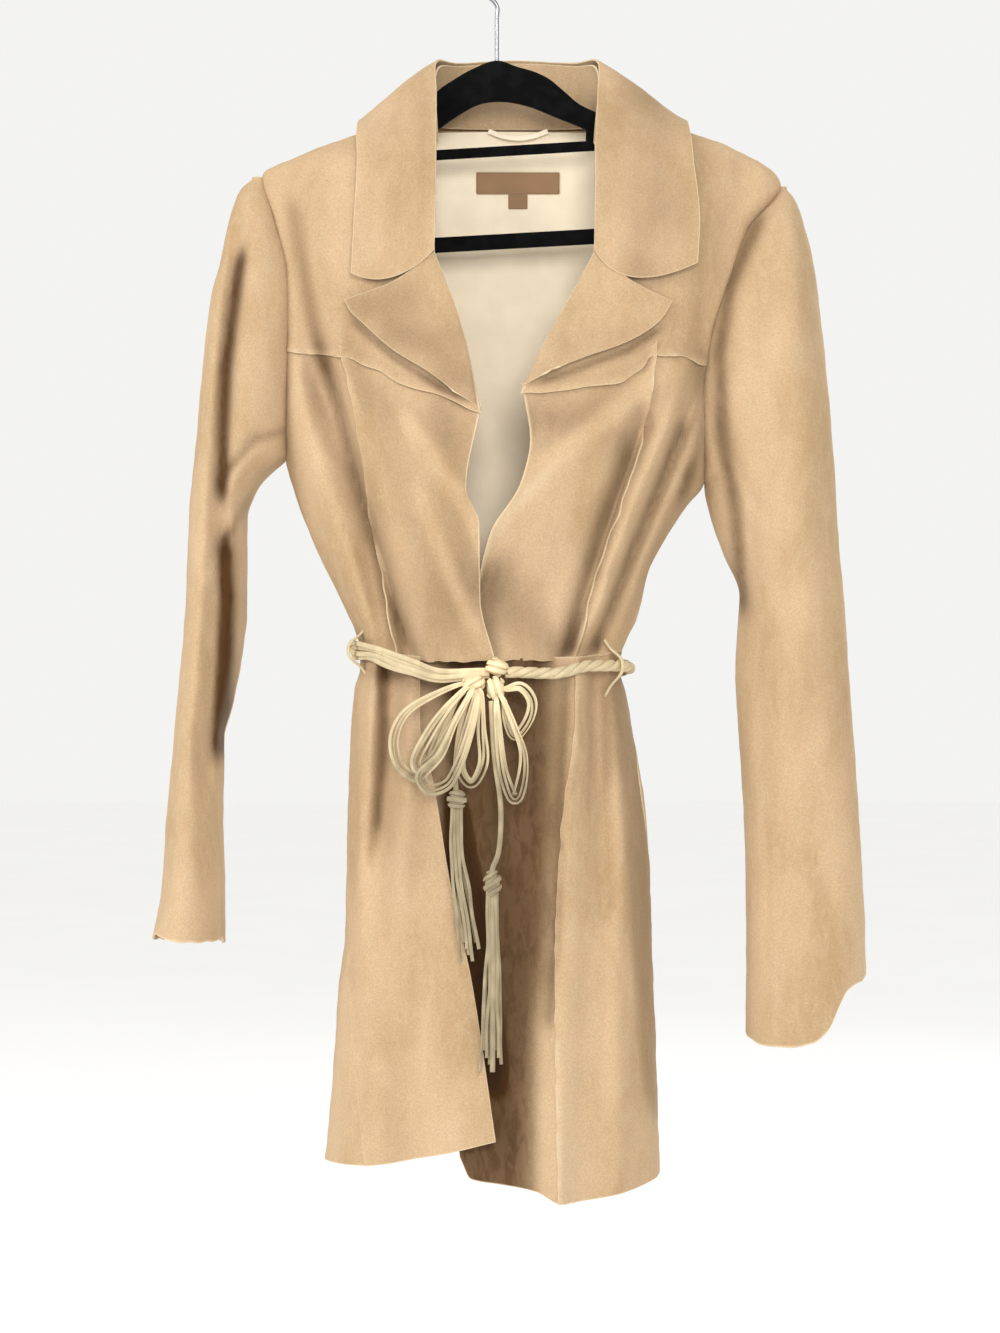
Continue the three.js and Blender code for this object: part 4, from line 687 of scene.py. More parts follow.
def shell(outer, thick, closed=False, bulge=0.3):
    """Vertices, faces and rim marks of a wall of cloth with slightly rounded raw edges."""
    normal = normals(outer, closed)
    if closed:
        outer, normal = outer[:, :-1], normal[:, :-1]
    rows, columns = outer.shape[:2]
    inner = outer - normal * (thick if np.isscalar(thick) else thick[:rows, :columns, None])
    ids = np.arange(rows * columns).reshape(rows, columns)
    wrapped = np.concatenate([ids, ids[:, :1]], axis=1) if closed else ids
    a, b = wrapped[:-1, :-1], wrapped[1:, :-1]
    c, d = wrapped[1:, 1:], wrapped[:-1, 1:]
    total = rows * columns
    faces = [quads(a, b, c, d), quads(a, d, c, b) + total]
    out = np.zeros_like(outer)
    out[0] += outer[0] - outer[1]
    out[-1] += outer[-1] - outer[-2]
    if not closed:
        out[:, 0] += outer[:, 0] - outer[:, 1]
        out[:, -1] += outer[:, -1] - outer[:, -2]
        rings = [np.concatenate([ids[0, :-1], ids[:-1, -1], ids[-1, :0:-1], ids[:0:-1, 0]])]
    else:
        rings = [ids[0], ids[-1, ::-1]]
    flat_outer, flat_inner = outer.reshape(-1, 3), inner.reshape(-1, 3)
    flat_out = out.reshape(-1, 3)
    vertices = [flat_outer, flat_inner]
    start = 2 * total
    for ring in rings:
        away = flat_out[ring] / np.maximum(np.linalg.norm(flat_out[ring], axis=1), 1e-9)[:, None]
        vertices.append((flat_outer[ring] + flat_inner[ring]) / 2 + away * bulge)
        here, onward = np.arange(len(ring)), np.roll(np.arange(len(ring)), -1)
        faces.append(quads(ring[here], ring[onward], start + onward, start + here))
        faces.append(quads(start + here, start + onward, total + ring[onward], total + ring[here]))
        start += len(ring)
    vertices, faces = np.concatenate(vertices), np.concatenate(faces)
    rim = np.zeros(len(vertices))
    rim[2 * total:] = 1
    for ring in rings:
        rim[ring] = 1
        rim[total + ring] = 1
    return vertices, outward(vertices, faces), rim


def outward(vertices, faces):
    """Faces turned so that the closed body's volume is above 0."""
    p = [vertices[faces[:, k]] for k in range(faces.shape[1])]
    volume = np.einsum("ij,ij->i", p[0], np.cross(p[1], p[2])).sum()
    if faces.shape[1] == 4:
        volume += np.einsum("ij,ij->i", p[0], np.cross(p[2], p[3])).sum()
    return faces if volume > 0 else faces[:, ::-1]


def lace_part(line, width, thick, faces_at=(0, -1, 0), twist=0.0, sides=10, square=3.2):
    """Vertices and faces of a lace or wire along a line, with its broad side towards faces_at."""
    line = np.asarray(line, float)
    count = len(line)
    tangent = np.gradient(line, axis=0)
    tangent /= np.linalg.norm(tangent, axis=1)[:, None]
    face = np.broadcast_to(np.asarray(faces_at, float), line.shape)
    normal = face - np.einsum("ij,ij->i", face, tangent)[:, None] * tangent
    normal /= np.maximum(np.linalg.norm(normal, axis=1), TINY)[:, None]
    side = np.cross(tangent, normal)
    turn = np.broadcast_to(np.asarray(twist, float), (count,))[:, None]
    normal, side = normal * np.cos(turn) + side * np.sin(turn), side * np.cos(turn) - normal * np.sin(turn)
    angle = 2 * np.pi * (np.arange(sides) + 0.5) / sides
    cos, sin = np.cos(angle), np.sin(angle)
    wide = np.sign(cos) * np.abs(cos) ** (2 / square) * (width / 2)
    tall = np.sign(sin) * np.abs(sin) ** (2 / square) * (thick / 2)
    rings = line[:, None] + side[:, None] * wide[:, None] + normal[:, None] * tall[:, None]
    vertices = rings.reshape(-1, 3)
    ids = np.arange(count * sides).reshape(count, sides)
    first, last = ids[0].tolist(), ids[-1].tolist()
    ids = np.concatenate([ids, ids[:, :1]], axis=1)
    body = quads(ids[:-1, :-1], ids[1:, :-1], ids[1:, 1:], ids[:-1, 1:])
    turned = outward(vertices, body)
    caps = [first[::-1], last] if np.array_equal(turned, body) else [first, last[::-1]]
    return vertices, turned.tolist() + caps


def merged(parts):
    """Several bodies as one list of vertices and one of faces."""
    vertices, faces, start = [], [], 0
    for points, polygons in parts:
        vertices.append(points)
        faces.extend([[index + start for index in polygon] for polygon in polygons])
        start += len(points)
    return np.concatenate(vertices), faces


def add_piece(node, vertices, faces, material, slot, marks=None, sharp=50):
    """A mesh object that rides on the frame's body in place of a CAD node."""
    name = f"dressed_{node}"
    mesh = bpy.data.meshes.new(name)
    mesh.from_pydata((vertices * MM).tolist(), [], faces)
    mesh.materials.append(material)
    mesh.shade_smooth()
    mesh.set_sharp_from_angle(angle=math.radians(sharp))
    for key, values in (marks or {}).items():
        mesh.attributes.new(key, "FLOAT", "POINT").data.foreach_set("value", values.astype(np.float32))
    piece = bpy.data.objects.new(name, mesh)
    bpy.context.scene.collection.objects.link(piece)
    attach(piece, "root")
    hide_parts(node)
    return piece


def grid_area(points):
    """Area of a grid of points in square metres."""
    down, across = points[1:, 1:] - points[:-1, :-1], points[:-1, 1:] - points[1:, :-1]
    return float(np.linalg.norm(np.cross(down, across), axis=-1).sum() / 2) * MM * MM


def linear(hex_colour):
    """An sRGB hex colour as linear red, green and blue."""
    values = [int(hex_colour[i:i + 2], 16) / 255 for i in (1, 3, 5)]
    return tuple(v / 12.92 if v <= 0.04045 else ((v + 0.055) / 1.055) ** 2.4 for v in values)


def add_node(tree, kind, inputs=(), output=0, **settings):
    """Adds a shader node with its settings and gives one of its outputs.

    Inputs go by name or in the node's own order. Each is a value, or another node's output to link.
    """
    node = tree.nodes.new(f"ShaderNode{kind}")
    for name, value in settings.items():
        setattr(node, name, value)
    for key, value in inputs.items() if isinstance(inputs, dict) else enumerate(inputs):
        if isinstance(value, bpy.types.NodeSocket):
            tree.links.new(value, node.inputs[key])
        else:
            node.inputs[key].default_value = value
    return node.outputs[output] if node.outputs else None


def new_material(name):
    """An empty node material, a function that adds nodes to it, and the object's own coordinates."""
    material = bpy.data.materials.new(name)
    material.use_nodes = True
    material.node_tree.nodes.clear()
    add = partial(add_node, material.node_tree)
    return material, add, add("TexCoord", output="Object")


def layered(add, base, layers):
    """A base colour with others laid over it, each as a value runs from low to high."""
    base = (*base, 1)
    for value, low, high, least, most, colour in layers:
        share = add("MapRange", (value, low, high, least, most), interpolation_type="SMOOTHSTEP")
        # A mix of colours has its share at input 0, its colours at 6 and 7, and its result at output 2
        base = add("Mix", {0: share, 6: base, 7: (*colour, 1)}, output=2, data_type="RGBA")
    return base


def brushed_suede(name, colours, grain_mm=1.3, cloud_mm=46, smear_mm=7):
    """Split hide with a brushed nap: matt, clouded where the nap lies over, paler at its cut edges, with
    painted shade and painted highlight laid over it from a mark on the mesh.
    """
    material, add, place = new_material(name)
    along = add("Mapping", {"Vector": place, "Scale": (1.0, 1.0, 0.4)})
    # Slow clouds where hands have brushed the nap one way or the other
    clouds = add("TexNoise", {"Vector": along, "Scale": 1 / (cloud_mm * MM), "Detail": 4, "Distortion": 0.3})
    # Short smears a finger wide, drawn out along the garment
    smears = add("TexNoise", {"Vector": along, "Scale": 1 / (smear_mm * MM), "Detail": 5, "Distortion": 0.8})
    smears = add("MapRange", (smears, 0.36, 0.7, 0, 1), interpolation_type="SMOOTHSTEP")
    # Nap fibres, drawn coarser than real ones so that they show
    fibres = add("TexNoise", {"Vector": place, "Scale": 1 / (grain_mm * MM), "Detail": 3})
    fibres = add("MapRange", (fibres, 0.3, 0.7, 0, 1), interpolation_type="SMOOTHSTEP")
    uneven = add("MapRange", (smears, 0, 1, 0.94, 1.05), interpolation_type="SMOOTHSTEP")
    nap, rim = (add("Attribute", output="Fac", attribute_name=mark) for mark in ("nap", "rim"))
    nap = add("Math", (nap, uneven), operation="MULTIPLY")
    base = layered(add, colours["mid"], [
        (clouds, 0.3, 0.7, 0, 1, colours["light"]),
        (smears, 0, 1, 0, 0.42, colours["brushed"]),
        (fibres, 0, 1, 0.15, 0, colours["deep"]),
        # The mark paints highlight above 0 and shade below 0, besides paler brushed streaks and raised raw
        # edges; far below 0 it paints the shadow behind a panel
        (nap, 0, 1, 0, 1, colours["pale"]),
        (nap, 0, -1, 0, 1, colours["deep"]),
        (nap, -1, -1.8, 0, 1, colours["hollow_shadow"]),
        (rim, 0.2, 1, 0, 0.6, colours["edge"]),
    ])
    grain = add("Math", (fibres, smears, 0.4), operation="MULTIPLY_ADD")
    bump = add("Bump", {"Height": grain, "Strength": 0.35, "Distance": 0.5 * MM})
    shader = add("BsdfPrincipled", {
        "Base Color": base, "Roughness": 0.95, "Normal": bump, "Specular IOR Level": 0.2,
        "Sheen Weight": 0.22, "Sheen Roughness": 0.55, "Sheen Tint": (*colours["pale"], 1),
    })
    add("OutputMaterial", {"Surface": shader})
    return material


def woven_cloth(name, colour, shade, thread_mm=1.1, sheen=0.15, roughness=0.8):
    """Plain woven lining or label: fine crossing threads and a slight sheen."""
    material, add, place = new_material(name)
    # A wave's bands repeat after pi metres at scale 1, and two threads make one band
    threads = [add("TexWave", {
        "Vector": place, "Scale": 0.5 / (thread_mm * MM) / math.pi, "Distortion": 0.4, "Detail": 1.0,
    }, output="Fac", wave_type="BANDS", bands_direction=direction) for direction in ("X", "Z")]
    weave = add("Math", threads, operation="MULTIPLY")
    # Soft unevenness a hand wide, as in a lining that has hung for a while
    soft = add("TexNoise", {"Vector": place, "Scale": 1 / (30 * MM), "Detail": 3})
    base = layered(add, colour, [(soft, 0.35, 0.65, 0, 0.35, shade), (weave, 0, 1, 0.16, 0, shade)])
    bump = add("Bump", {"Height": weave, "Strength": 0.25, "Distance": 0.25 * MM})
    shader = add("BsdfPrincipled", {
        "Base Color": base, "Roughness": roughness, "Normal": bump, "Sheen Weight": sheen,
    })
    add("OutputMaterial", {"Surface": shader})
    return material


def flocked_plastic(name, colour, fibre_mm=0.8, cloud_mm=12):
    """Hanger plastic with black nylon flock: swallows light, with a faint velvet bloom."""
    material, add, place = new_material(name)
    flock, clouds = (add("TexNoise", {"Vector": place, "Scale": 1 / (size * MM), "Detail": detail})
                     for size, detail in ((fibre_mm, 2), (cloud_mm, 3)))
    base = layered(add, colour, [(clouds, 0.4, 0.65, 0, 0.5, linear("#121214"))])
    bump = add("Bump", {"Height": flock, "Strength": 0.5, "Distance": 0.3 * MM})
    shader = add("BsdfPrincipled", {
        "Base Color": base, "Roughness": 1.0, "Normal": bump, "Specular IOR Level": 0.1,
        "Sheen Weight": 0.05, "Sheen Roughness": 0.4,
    })
    add("OutputMaterial", {"Surface": shader})
    return material


def plated_steel(name, colour, mark_mm=2.5, grain_mm=1):
    """Drawn and nickel plated wire: bright, with faint marks drawn along it."""
    material, add, place = new_material(name)
    marks = add("TexNoise", {"Vector": place, "Scale": 1 / (mark_mm * MM), "Detail": 4, "Distortion": 1.5})
    rough = add("MapRange", (marks, 0.4, 0.6, 0.24, 0.36), interpolation_type="SMOOTHSTEP")
    grain = add("TexNoise", {"Vector": place, "Scale": 1 / (grain_mm * MM), "Detail": 2})
    bump = add("Bump", {"Height": grain, "Strength": 0.05, "Distance": 0.1 * MM})
    shader = add("BsdfPrincipled", {
        "Base Color": (*colour, 1), "Metallic": 1.0, "Roughness": rough, "Normal": bump,
    })
    add("OutputMaterial", {"Surface": shader})
    return material


def matt_paper(name, colour, cloud_mm=400):
    """Coated studio paper on the floor: plain and matt, with hardly any clouds."""
    material, add, place = new_material(name)
    clouds = add("TexNoise", {"Vector": place, "Scale": 1 / (cloud_mm * MM), "Detail": 2})
    tone = layered(add, colour, [(clouds, 0.4, 0.6, 0, 0.04, linear("#E1E1E1"))])
    add("OutputMaterial", {"Surface": add("BsdfPrincipled", {"Base Color": tone, "Roughness": 0.9})})
    return material


def colour_property(name, hex_colour, description):
    """A colour that a user may change, from its hex value."""
    return FloatVectorProperty(name=name, description=description, subtype="COLOR", size=3,
                               min=0, max=1, default=linear(hex_colour))


def length_property(name, default, description):
    """A length in metres that a user may change."""
    return FloatProperty(name=name, description=description, unit="LENGTH", default=default)


class JacketColours(bpy.types.PropertyGroup):
    """Colours of the suede, laces, lining, label and hanger."""
    light: colour_property("Light nap", "#BDA180", "Suede where the nap lies towards the light")
    mid: colour_property("Nap", "#A98D6A", "Suede between brushed places")
    brushed: colour_property("Brushed", "#B9A17F", "Short brushed smears")
    # Also the colour of painted highlight on lit folds, besides brushed streaks and raised edges
    pale: colour_property("Pale nap", "#CABB9F", "Suede brushed up to a greyish pale")
    # Also the colour of painted shade, besides the fibres' dark grain
    deep: colour_property("Deep nap", "#412609", "Suede where the nap lies away from the light")
    # Painted shadow, for suede deep behind another panel
    hollow_shadow: colour_property("Hollow", "#24140A", "Suede deep behind another panel")
    edge: colour_property("Cut edge", "#D2C09E", "Raw edge of the hide")
    lace: colour_property("Lace", "#C6B592", "Cut suede laces of the belt")
    lining: colour_property("Lining", "#FBEBCE", "Lining of the body")
    label: colour_property("Label", "#98744F", "Bare neck label")
    flock: colour_property("Flock", "#060606", "Flocked hanger")
    steel: colour_property("Hook", "#8E8E91", "Plated hook")
    floor: colour_property("Floor", "#FDFDFC", "Studio floor")


class JacketSizes(bpy.types.PropertyGroup):
    """Sizes of the cloth, its laps and the laces."""
    suede: length_property("Suede", 0.0016, "Thickness of the suede")
    lining: length_property("Lining", 0.0009, "Thickness of the lining")
    lap: length_property("Lap", 0.0045, "How far a raw edge lies over the next panel")
    lace: length_property("Lace", 0.0042, "Width of a belt lace")
    spacing: length_property("Spacing", 0.0032, "Distance between the points of the cloth")
    strands: IntProperty(name="Belt laces", description="Laces side by side in the belt", default=4,
                         min=2, max=6)


def colours_of(context):
    """The colours that the user has set."""
    return context.scene.jacket_colours


def sizes_of(context):
    """The sizes that the user has set."""
    return context.scene.jacket_sizes


def suede_of(context):
    """The body's suede, made once."""
    name, c = "brushed suede", colours_of(context)
    tones = ("light", "mid", "brushed", "pale", "deep", "hollow_shadow", "edge")
    return bpy.data.materials.get(name) or brushed_suede(
        name, {tone: tuple(getattr(c, tone)) for tone in tones})


def lace_suede_of(context):
    """The laces' suede, paler and cut narrow, made once."""
    name, c = "cut suede lace", colours_of(context)
    tones = {tone: tuple(min(1, v * share) for v in c.lace) for tone, share in LACE_TONES.items()}
    return bpy.data.materials.get(name) or brushed_suede(
        name, {**tones, "hollow_shadow": tuple(c.hollow_shadow)}, grain_mm=1.0, cloud_mm=14)


def cloth_piece(context, node, outer, nap, thick=None, closed=False, material=None, slot="suede"):
    """A sheet of cloth from its outer points; the size that it was cut to is worked out, but nothing uses it.
    """
    wall = sizes_of(context).suede / MM if thick is None else thick
    vertices, faces, rim = shell(outer, wall, closed)
    both_faces = np.tile((nap[:, :-1] if closed else nap).ravel(), 2)
    marks = {"nap": np.zeros(len(vertices)), "rim": rim}
    marks["nap"][:len(both_faces)] = both_faces
    piece = add_piece(node, vertices, faces.tolist(), material or suede_of(context), slot, marks)
    area = grid_area(outer)
    width, length = (float(np.median(np.linalg.norm(np.diff(outer, axis=axis), axis=-1).sum(axis=axis))) * MM
                     for axis in (1, 0))
    # A cut that is broader at its ends than in its middle is given the width that holds its area
    width *= max(1.0, area / (width * length))
    return piece


def relief(points, amount=0.7, closed=False):
    """Small unevenness of hanging hide, the same on both sides of a seam."""
    wave = sum(share * ripple(points, size, seed) for share, size, seed in RELIEF)
    return points + normals(points, closed) * (amount * wave)[..., None]


def steps_for(context, side):
    """How many steps of the cloth's spacing a side of a panel takes."""
    return max(4, int(round(SIDE_LENGTHS[side] / (sizes_of(context).spacing / MM))))


def even(context, side):
    """Even steps along a side of a panel, from 0 to 1."""
    return np.linspace(0, 1, steps_for(context, side) + 1)


def crisp(context, side):
    """Steps along a side of a panel whose first and last are narrow."""
    return spaced(steps_for(context, side), CRISP_STEPS[side])


def front_panels(context, side):
    """Outer points of a front's yoke, side panel and centre panel, with their laps."""
    lines, left = FRONTS[side], side == "l"
    order = -1 if left else 1        # pairs are given from the side to the centre, and grids run along +X
    yoke_seam, waist, neck = lines["yoke"], lines["waist"], lines["neck"]
    folds = FRONT_FOLDS + FRONT_CREASES + [lines["crossing"]]
    top = neck[0][1]
    corner = (float((side_l if left else side_r)(top)), top)
    seam_split = split_at(yoke_seam, lines["princess"][0][0])
    waist_split = split_at(waist, lines["princess"][-1][0])
    meeting = tuple(track(yoke_seam)(seam_split))
    princess = seam([meeting, *lines["princess"][1:-1], tuple(track(waist)(waist_split))])
    shoulder = seam([*lines["shoulder"], meeting])
    seam_end, waist_end = (line[-1 if left else 0][1] for line in (yoke_seam, waist))
    side_us, centre_us, yoke_vs, lower_vs = (
        even(context, name) for name in ("front_side", "front_center", "yoke_tall", "front_tall"))

    def stretches(line, split):
        """The part of a line over the side panel and the part over the centre panel."""
        return [seam(line, *part) for part in ((0, split), (split, 1))[::order]]

    def block(above, below, outer, inner, us, vs):
        return patch(above, below, *(outer, inner)[::order], us, vs)

    seam_side, seam_centre = stretches(yoke_seam, seam_split)
    waist_side, waist_centre = stretches(waist, waist_split)
    side_top, centre_top = (seam([lines["shoulder"][0], end][::turn * order])
                            for end, turn in ((corner, -1), (neck[0], 1)))
    above = [block(side_top, seam_side, side_edge(side, top, seam_end), shoulder, side_us, yoke_vs),
             block(centre_top, seam_centre, shoulder, seam(neck), centre_us, yoke_vs)][::order]
    yoke = np.concatenate([above[0], above[1][:, 1:]], axis=1)
    lower_side = block(seam_side, waist_side, side_edge(side, seam_end, waist_end), princess,
                       side_us, lower_vs)
    lower_centre = block(seam_centre, waist_centre, princess, seam(lines["edge"]), centre_us, lower_vs)
    to_side, to_centre = ("left", "right")[::order]
    over = sizes_of(context).lap / MM
    panels = {
        "yoke_front": (yoke, [("bottom", over, 3.2, 11)]),
        "front_side": (lower_side, [("top", over, 0, 2), (to_centre, 3, 0, 3), ("bottom", 3, 1.4, 4)]),
        "front_center": (lower_centre, [("top", over, 0, 2), (to_side, over, 2.8, 13),
                                        ("bottom", 3, 1.6, 6)]),
    }
    return {f"{name}_{side}": lapped(grid, -1, folds, laps) for name, (grid, laps) in panels.items()}


class JACKET_OT_fronts(bpy.types.Operator):
    """Makes the front yokes and the panels below them, with raw edges lapped at the seams"""
    bl_idname = "jacket.fronts"
    bl_label = "Fronts"

    def execute(self, context):
        for side in "rl":
            for node, (points, paler) in front_panels(context, side).items():
                points = relief(points, 1.0)
                # Painted shade and painted highlight from the table, over the paler raised edges
                cloth_piece(context, node, points, paler + strokes(PAINTED_LIGHT_AND_BRUSHING_FRONT, points[..., 0], points[..., 2]))
        return {"FINISHED"}


def level(heights, start, stop):
    """Edge between two turns round the body, with heights spaced evenly along it."""
    line = smooth(np.linspace(0, 1, len(heights)), heights)

    def at(t):
        t = np.asarray(t, float)
        return np.stack([start + (stop - start) * t, line(t)], axis=-1)
    return at


def back_grid(columns, rows):
    """Turn and height of the back's points, from the wearer's left side round to the right."""
    start, stop = np.pi / 2, 1.5 * np.pi
    top, bottom = level(NECK_SEAM_BACK, start, stop), level(WAIST_BACK, start, stop)
    left = side_edge("l", NECK_SEAM_BACK[0], WAIST_BACK[0], start)
    right = side_edge("r", NECK_SEAM_BACK[-1], WAIST_BACK[-1], stop)
    return patch(top, bottom, left, right, np.linspace(0, 1, columns + 1), np.linspace(0, 1, rows + 1))


class JACKET_OT_back(bpy.types.Operator):
    """Makes the two halves of the back, from neck to waist"""
    bl_idname = "jacket.back"
    bl_label = "Back"

    def execute(self, context):
        half_columns = steps_for(context, "back_half")
        grid = back_grid(2 * half_columns, steps_for(context, "back_tall"))
        halves = {
            "back_bodice_l": (grid[:, :half_columns + 1], ("right", 3, 0, 5)),
            "back_bodice_r": (grid[:, half_columns:], ("left", 3.5, 2.2, 19)),
        }
        for node, (half, middle_lap) in halves.items():
            points, paler = lapped(half, 1, BACK_FOLDS, [middle_lap, ("bottom", 3, 1.8, 6)])
            points = relief(points)
            cloth_piece(context, node, points, paler + 0.12 * ripple(points, 90, 21))
        return {"FINISHED"}


class JACKET_OT_skirts(bpy.types.Operator):
    """Makes the skirt panels below the waist seam, open in front"""
    bl_idname = "jacket.skirts"
    bl_label = "Skirts"

    def execute(self, context):
        whole = 2 * np.pi
        top_split, hem_split = split_at(SKIRT_TOP_L, SKIRT_SEAM_L[0][0]), split_at(HEM_L, SKIRT_SEAM_L[-1][0])
        top_point, hem_point = tuple(track(SKIRT_TOP_L)(top_split)), tuple(track(HEM_L)(hem_split))
        front_seam, side_left = seam([top_point, *SKIRT_SEAM_L[1:-1], hem_point]), seam(SKIRT_SIDE_L)
        top_r, hem_r, side_right, edge_r = (
            seam(line, onward=whole) for line in (SKIRT_TOP_R, HEM_R, SKIRT_SIDE_R, SKIRT_EDGE_R))
        back_top, back_hem = (level(heights, side_left(end)[0], side_right(end)[0])
                              for heights, end in ((SKIRT_TOP_BACK, 0.0), (HEM_BACK, 1.0)))
        rows = crisp(context, "skirt_tall")
        # The hidden edge of the underlap goes 42 mm under the other front at the waist and 3 mm at the hem
        underlap = np.linspace(42, 3, len(rows))
        # Top, hem, the two sides, which way the panel faces, its folds and its laps
        panels = {
            "skirt_front_l": (seam(SKIRT_TOP_L, 0, top_split), seam(HEM_L, 0, hem_split), seam(SKIRT_EDGE_L),
                              front_seam, -1, SKIRT_L_FOLDS, [("right", 3, 0, 5), ("left", underlap, 0, 9)]),
            "skirt_side_l": (seam(SKIRT_TOP_L, top_split, 1), seam(HEM_L, hem_split, 1), front_seam,
                             side_left, -1, SKIRT_L_FOLDS, [("left", 3.2, 2, 15)]),
            "back_skirt": (back_top, back_hem, side_left, side_right, 1, BACK_FOLDS, [("right", 3, 0, 7)]),
            "skirt_front_r": (top_r, hem_r, side_right, edge_r, -1, SKIRT_R_FOLDS, [("left", 3.2, 2, 17)]),
        }
        for node, (top, hem, left, right, face, folds, laps) in panels.items():
            grid = patch(top, hem, left, right, crisp(context, node), rows)
            points, paler = lapped(grid, face, folds, laps)
            points = relief(points, 1.0)
            x, z = points[..., 0], points[..., 2]
            # The front skirts get painted shade and a painted highlight; the back gets only uneven tone
            if face > 0:
                nap = 0.12 * ripple(points, 90, 22)
            else:
                nap = strokes(PAINTED_LIGHT_SKIRT, x, z) + strokes(SHADE_SKIRT, x, z, 8) * (node != "skirt_front_r")
            cloth_piece(context, node, points, paler + nap)
        return {"FINISHED"}


def sleeve_points(side, turn, z):
    """Outer points of a sleeve at turns from its inner seam and at heights."""
    rows, folds, _ = SLEEVES[side]
    inner, outer, depth, middle = [by_height(rows, k)(z) for k in (1, 2, 3, 4)]
    sign = 1 if side == "r" else -1
    body_x = (side_r if side == "r" else side_l)(z) + sign * ARMHOLE_TUCK
    inner = np.where(z > ARMHOLE[side][1], body_x, inner)
    half = np.maximum(SLEEVE_LEAST_HALF, np.abs(inner - outer) / 2)
    cos, sin = np.cos(turn), np.sin(turn)
    x = inner - sign * half * (1 - np.sign(cos) * np.abs(cos) ** SLEEVE_ROUNDNESS)
    facing = np.where((side == "r") == (turn < np.pi), 1, -1)
    gap = np.minimum(armhole_half(side, z), depth) * ((1 + cos) / 2)
    bulge = np.abs(sin) ** SLEEVE_ROUNDNESS
    rise = np.where(facing < 0, strokes(folds, x, z) * bulge, 0)
    return np.stack([x, middle + facing * (gap + (depth - gap) * bulge + rise), z], axis=-1)


class JACKET_OT_sleeves(bpy.types.Operator):
    """Makes the sleeves, open at the armhole and the cuff"""
    bl_idname = "jacket.sleeves"
    bl_label = "Sleeves"

    def execute(self, context):
        for side, (_, _, cuff) in SLEEVES.items():
            turns = np.linspace(0, 2 * np.pi, steps_for(context, "sleeve_round") + 1)
            cuff_z = smooth([row[0] for row in cuff], [row[1] for row in cuff])(np.degrees(turns))
            cuff_z = cuff_z + 0.8 * ripple(turns[:, None] * 40, 24, 31)
            rows = np.concatenate([np.linspace(0, 0.997, steps_for(context, "sleeve_tall")), [1]])[:, None]
            z = SLEEVE_TOP[side] + (cuff_z[None] - SLEEVE_TOP[side]) * rows ** SLEEVE_CROWDING
            points = sleeve_points(side, np.broadcast_to(turns, z.shape), z)
            points = relief(points, 0.8, closed=True)
            x, y, z = np.moveaxis(points, -1, 0)
            # Painted shade on the sleeves' fronts
            nap = np.where(y < SLEEVE_FRONT, strokes(PAINTED_SHADE_SLEEVE, x, z), 0.0)
            cloth_piece(context, f"sleeve_{side}", points, nap, closed=True)
        return {"FINISHED"}


class JACKET_OT_collar(bpy.types.Operator):
    """Makes the collar's stand and fall, and the two lapels"""
    bl_idname = "jacket.collar"
    bl_label = "Collar and lapels"

    def execute(self, context):
        us, t = crisp(context, "collar_round"), crisp(context, "collar_deep")[:, None, None]
        roll, middle, edge = [spline([section[k] for section in FALL])(us) for k in range(3)]
        middle = 2 * middle - (roll + edge) / 2
        fall = relief((1 - t) ** 2 * roll + 2 * t * (1 - t) * middle + t * t * edge)
        # Painted shade from the table and uneven tone
        nap = strokes(PAINTED_SHADE_COLLAR, fall[..., 0], fall[..., 2]) + 0.08 * ripple(fall, 50, 41)
        cloth_piece(context, "collar_fall", fall, nap)

        us, t = crisp(context, "stand_round"), crisp(context, "stand_deep")[:, None, None]
        foot, top = [spline([section[k] for section in STAND])(us) for k in range(2)]
        stand = top + (foot - top) * t
        cloth_piece(context, "collar_stand", relief(stand, 0.5), 0.1 * ripple(stand, 30, 42) - 0.1)
        for side, edges in LAPELS.items():
            self.lapel(context, side, edges)
        return {"FINISHED"}

    def lapel(self, context, side, edges):
        """A lapel lies on its front and rolls over at its inner edge."""
        order = -1 if side == "l" else 1
        foot = track([edges["outer"][-1], edges["roll"][-1]][::order])
        outer_and_roll = [track(edges["outer"]), track(edges["roll"])][::order]
        across, down = crisp(context, "lapel_wide"), crisp(context, "lapel_tall")
        grid = patch(track(edges["top"]), foot, *outer_and_roll, across, down)
        from_roll = across if side == "l" else 1 - across
        lift = LAPEL_LIFT["roll"] + (LAPEL_LIFT["outer"] - LAPEL_LIFT["roll"]) * np.sqrt(from_roll)
        wall = sizes_of(context).suede / MM
        x, z = grid[..., 0], grid[..., 1]
        turned = np.stack([turn_at(x, z), z], axis=-1)
        points = body_points(turned, -1, FRONT_FOLDS, lift[None, :] + wall + LAPEL_LIFT["clear"])
        points = relief(points, 0.8)
        # Painted shade from the table and uneven tone
        nap = strokes(PAINTED_SHADE_LAPEL, points[..., 0], points[..., 2]) + 0.08 * ripple(points, 40, 43)
        cloth_piece(context, f"lapel_{side}", points, nap)


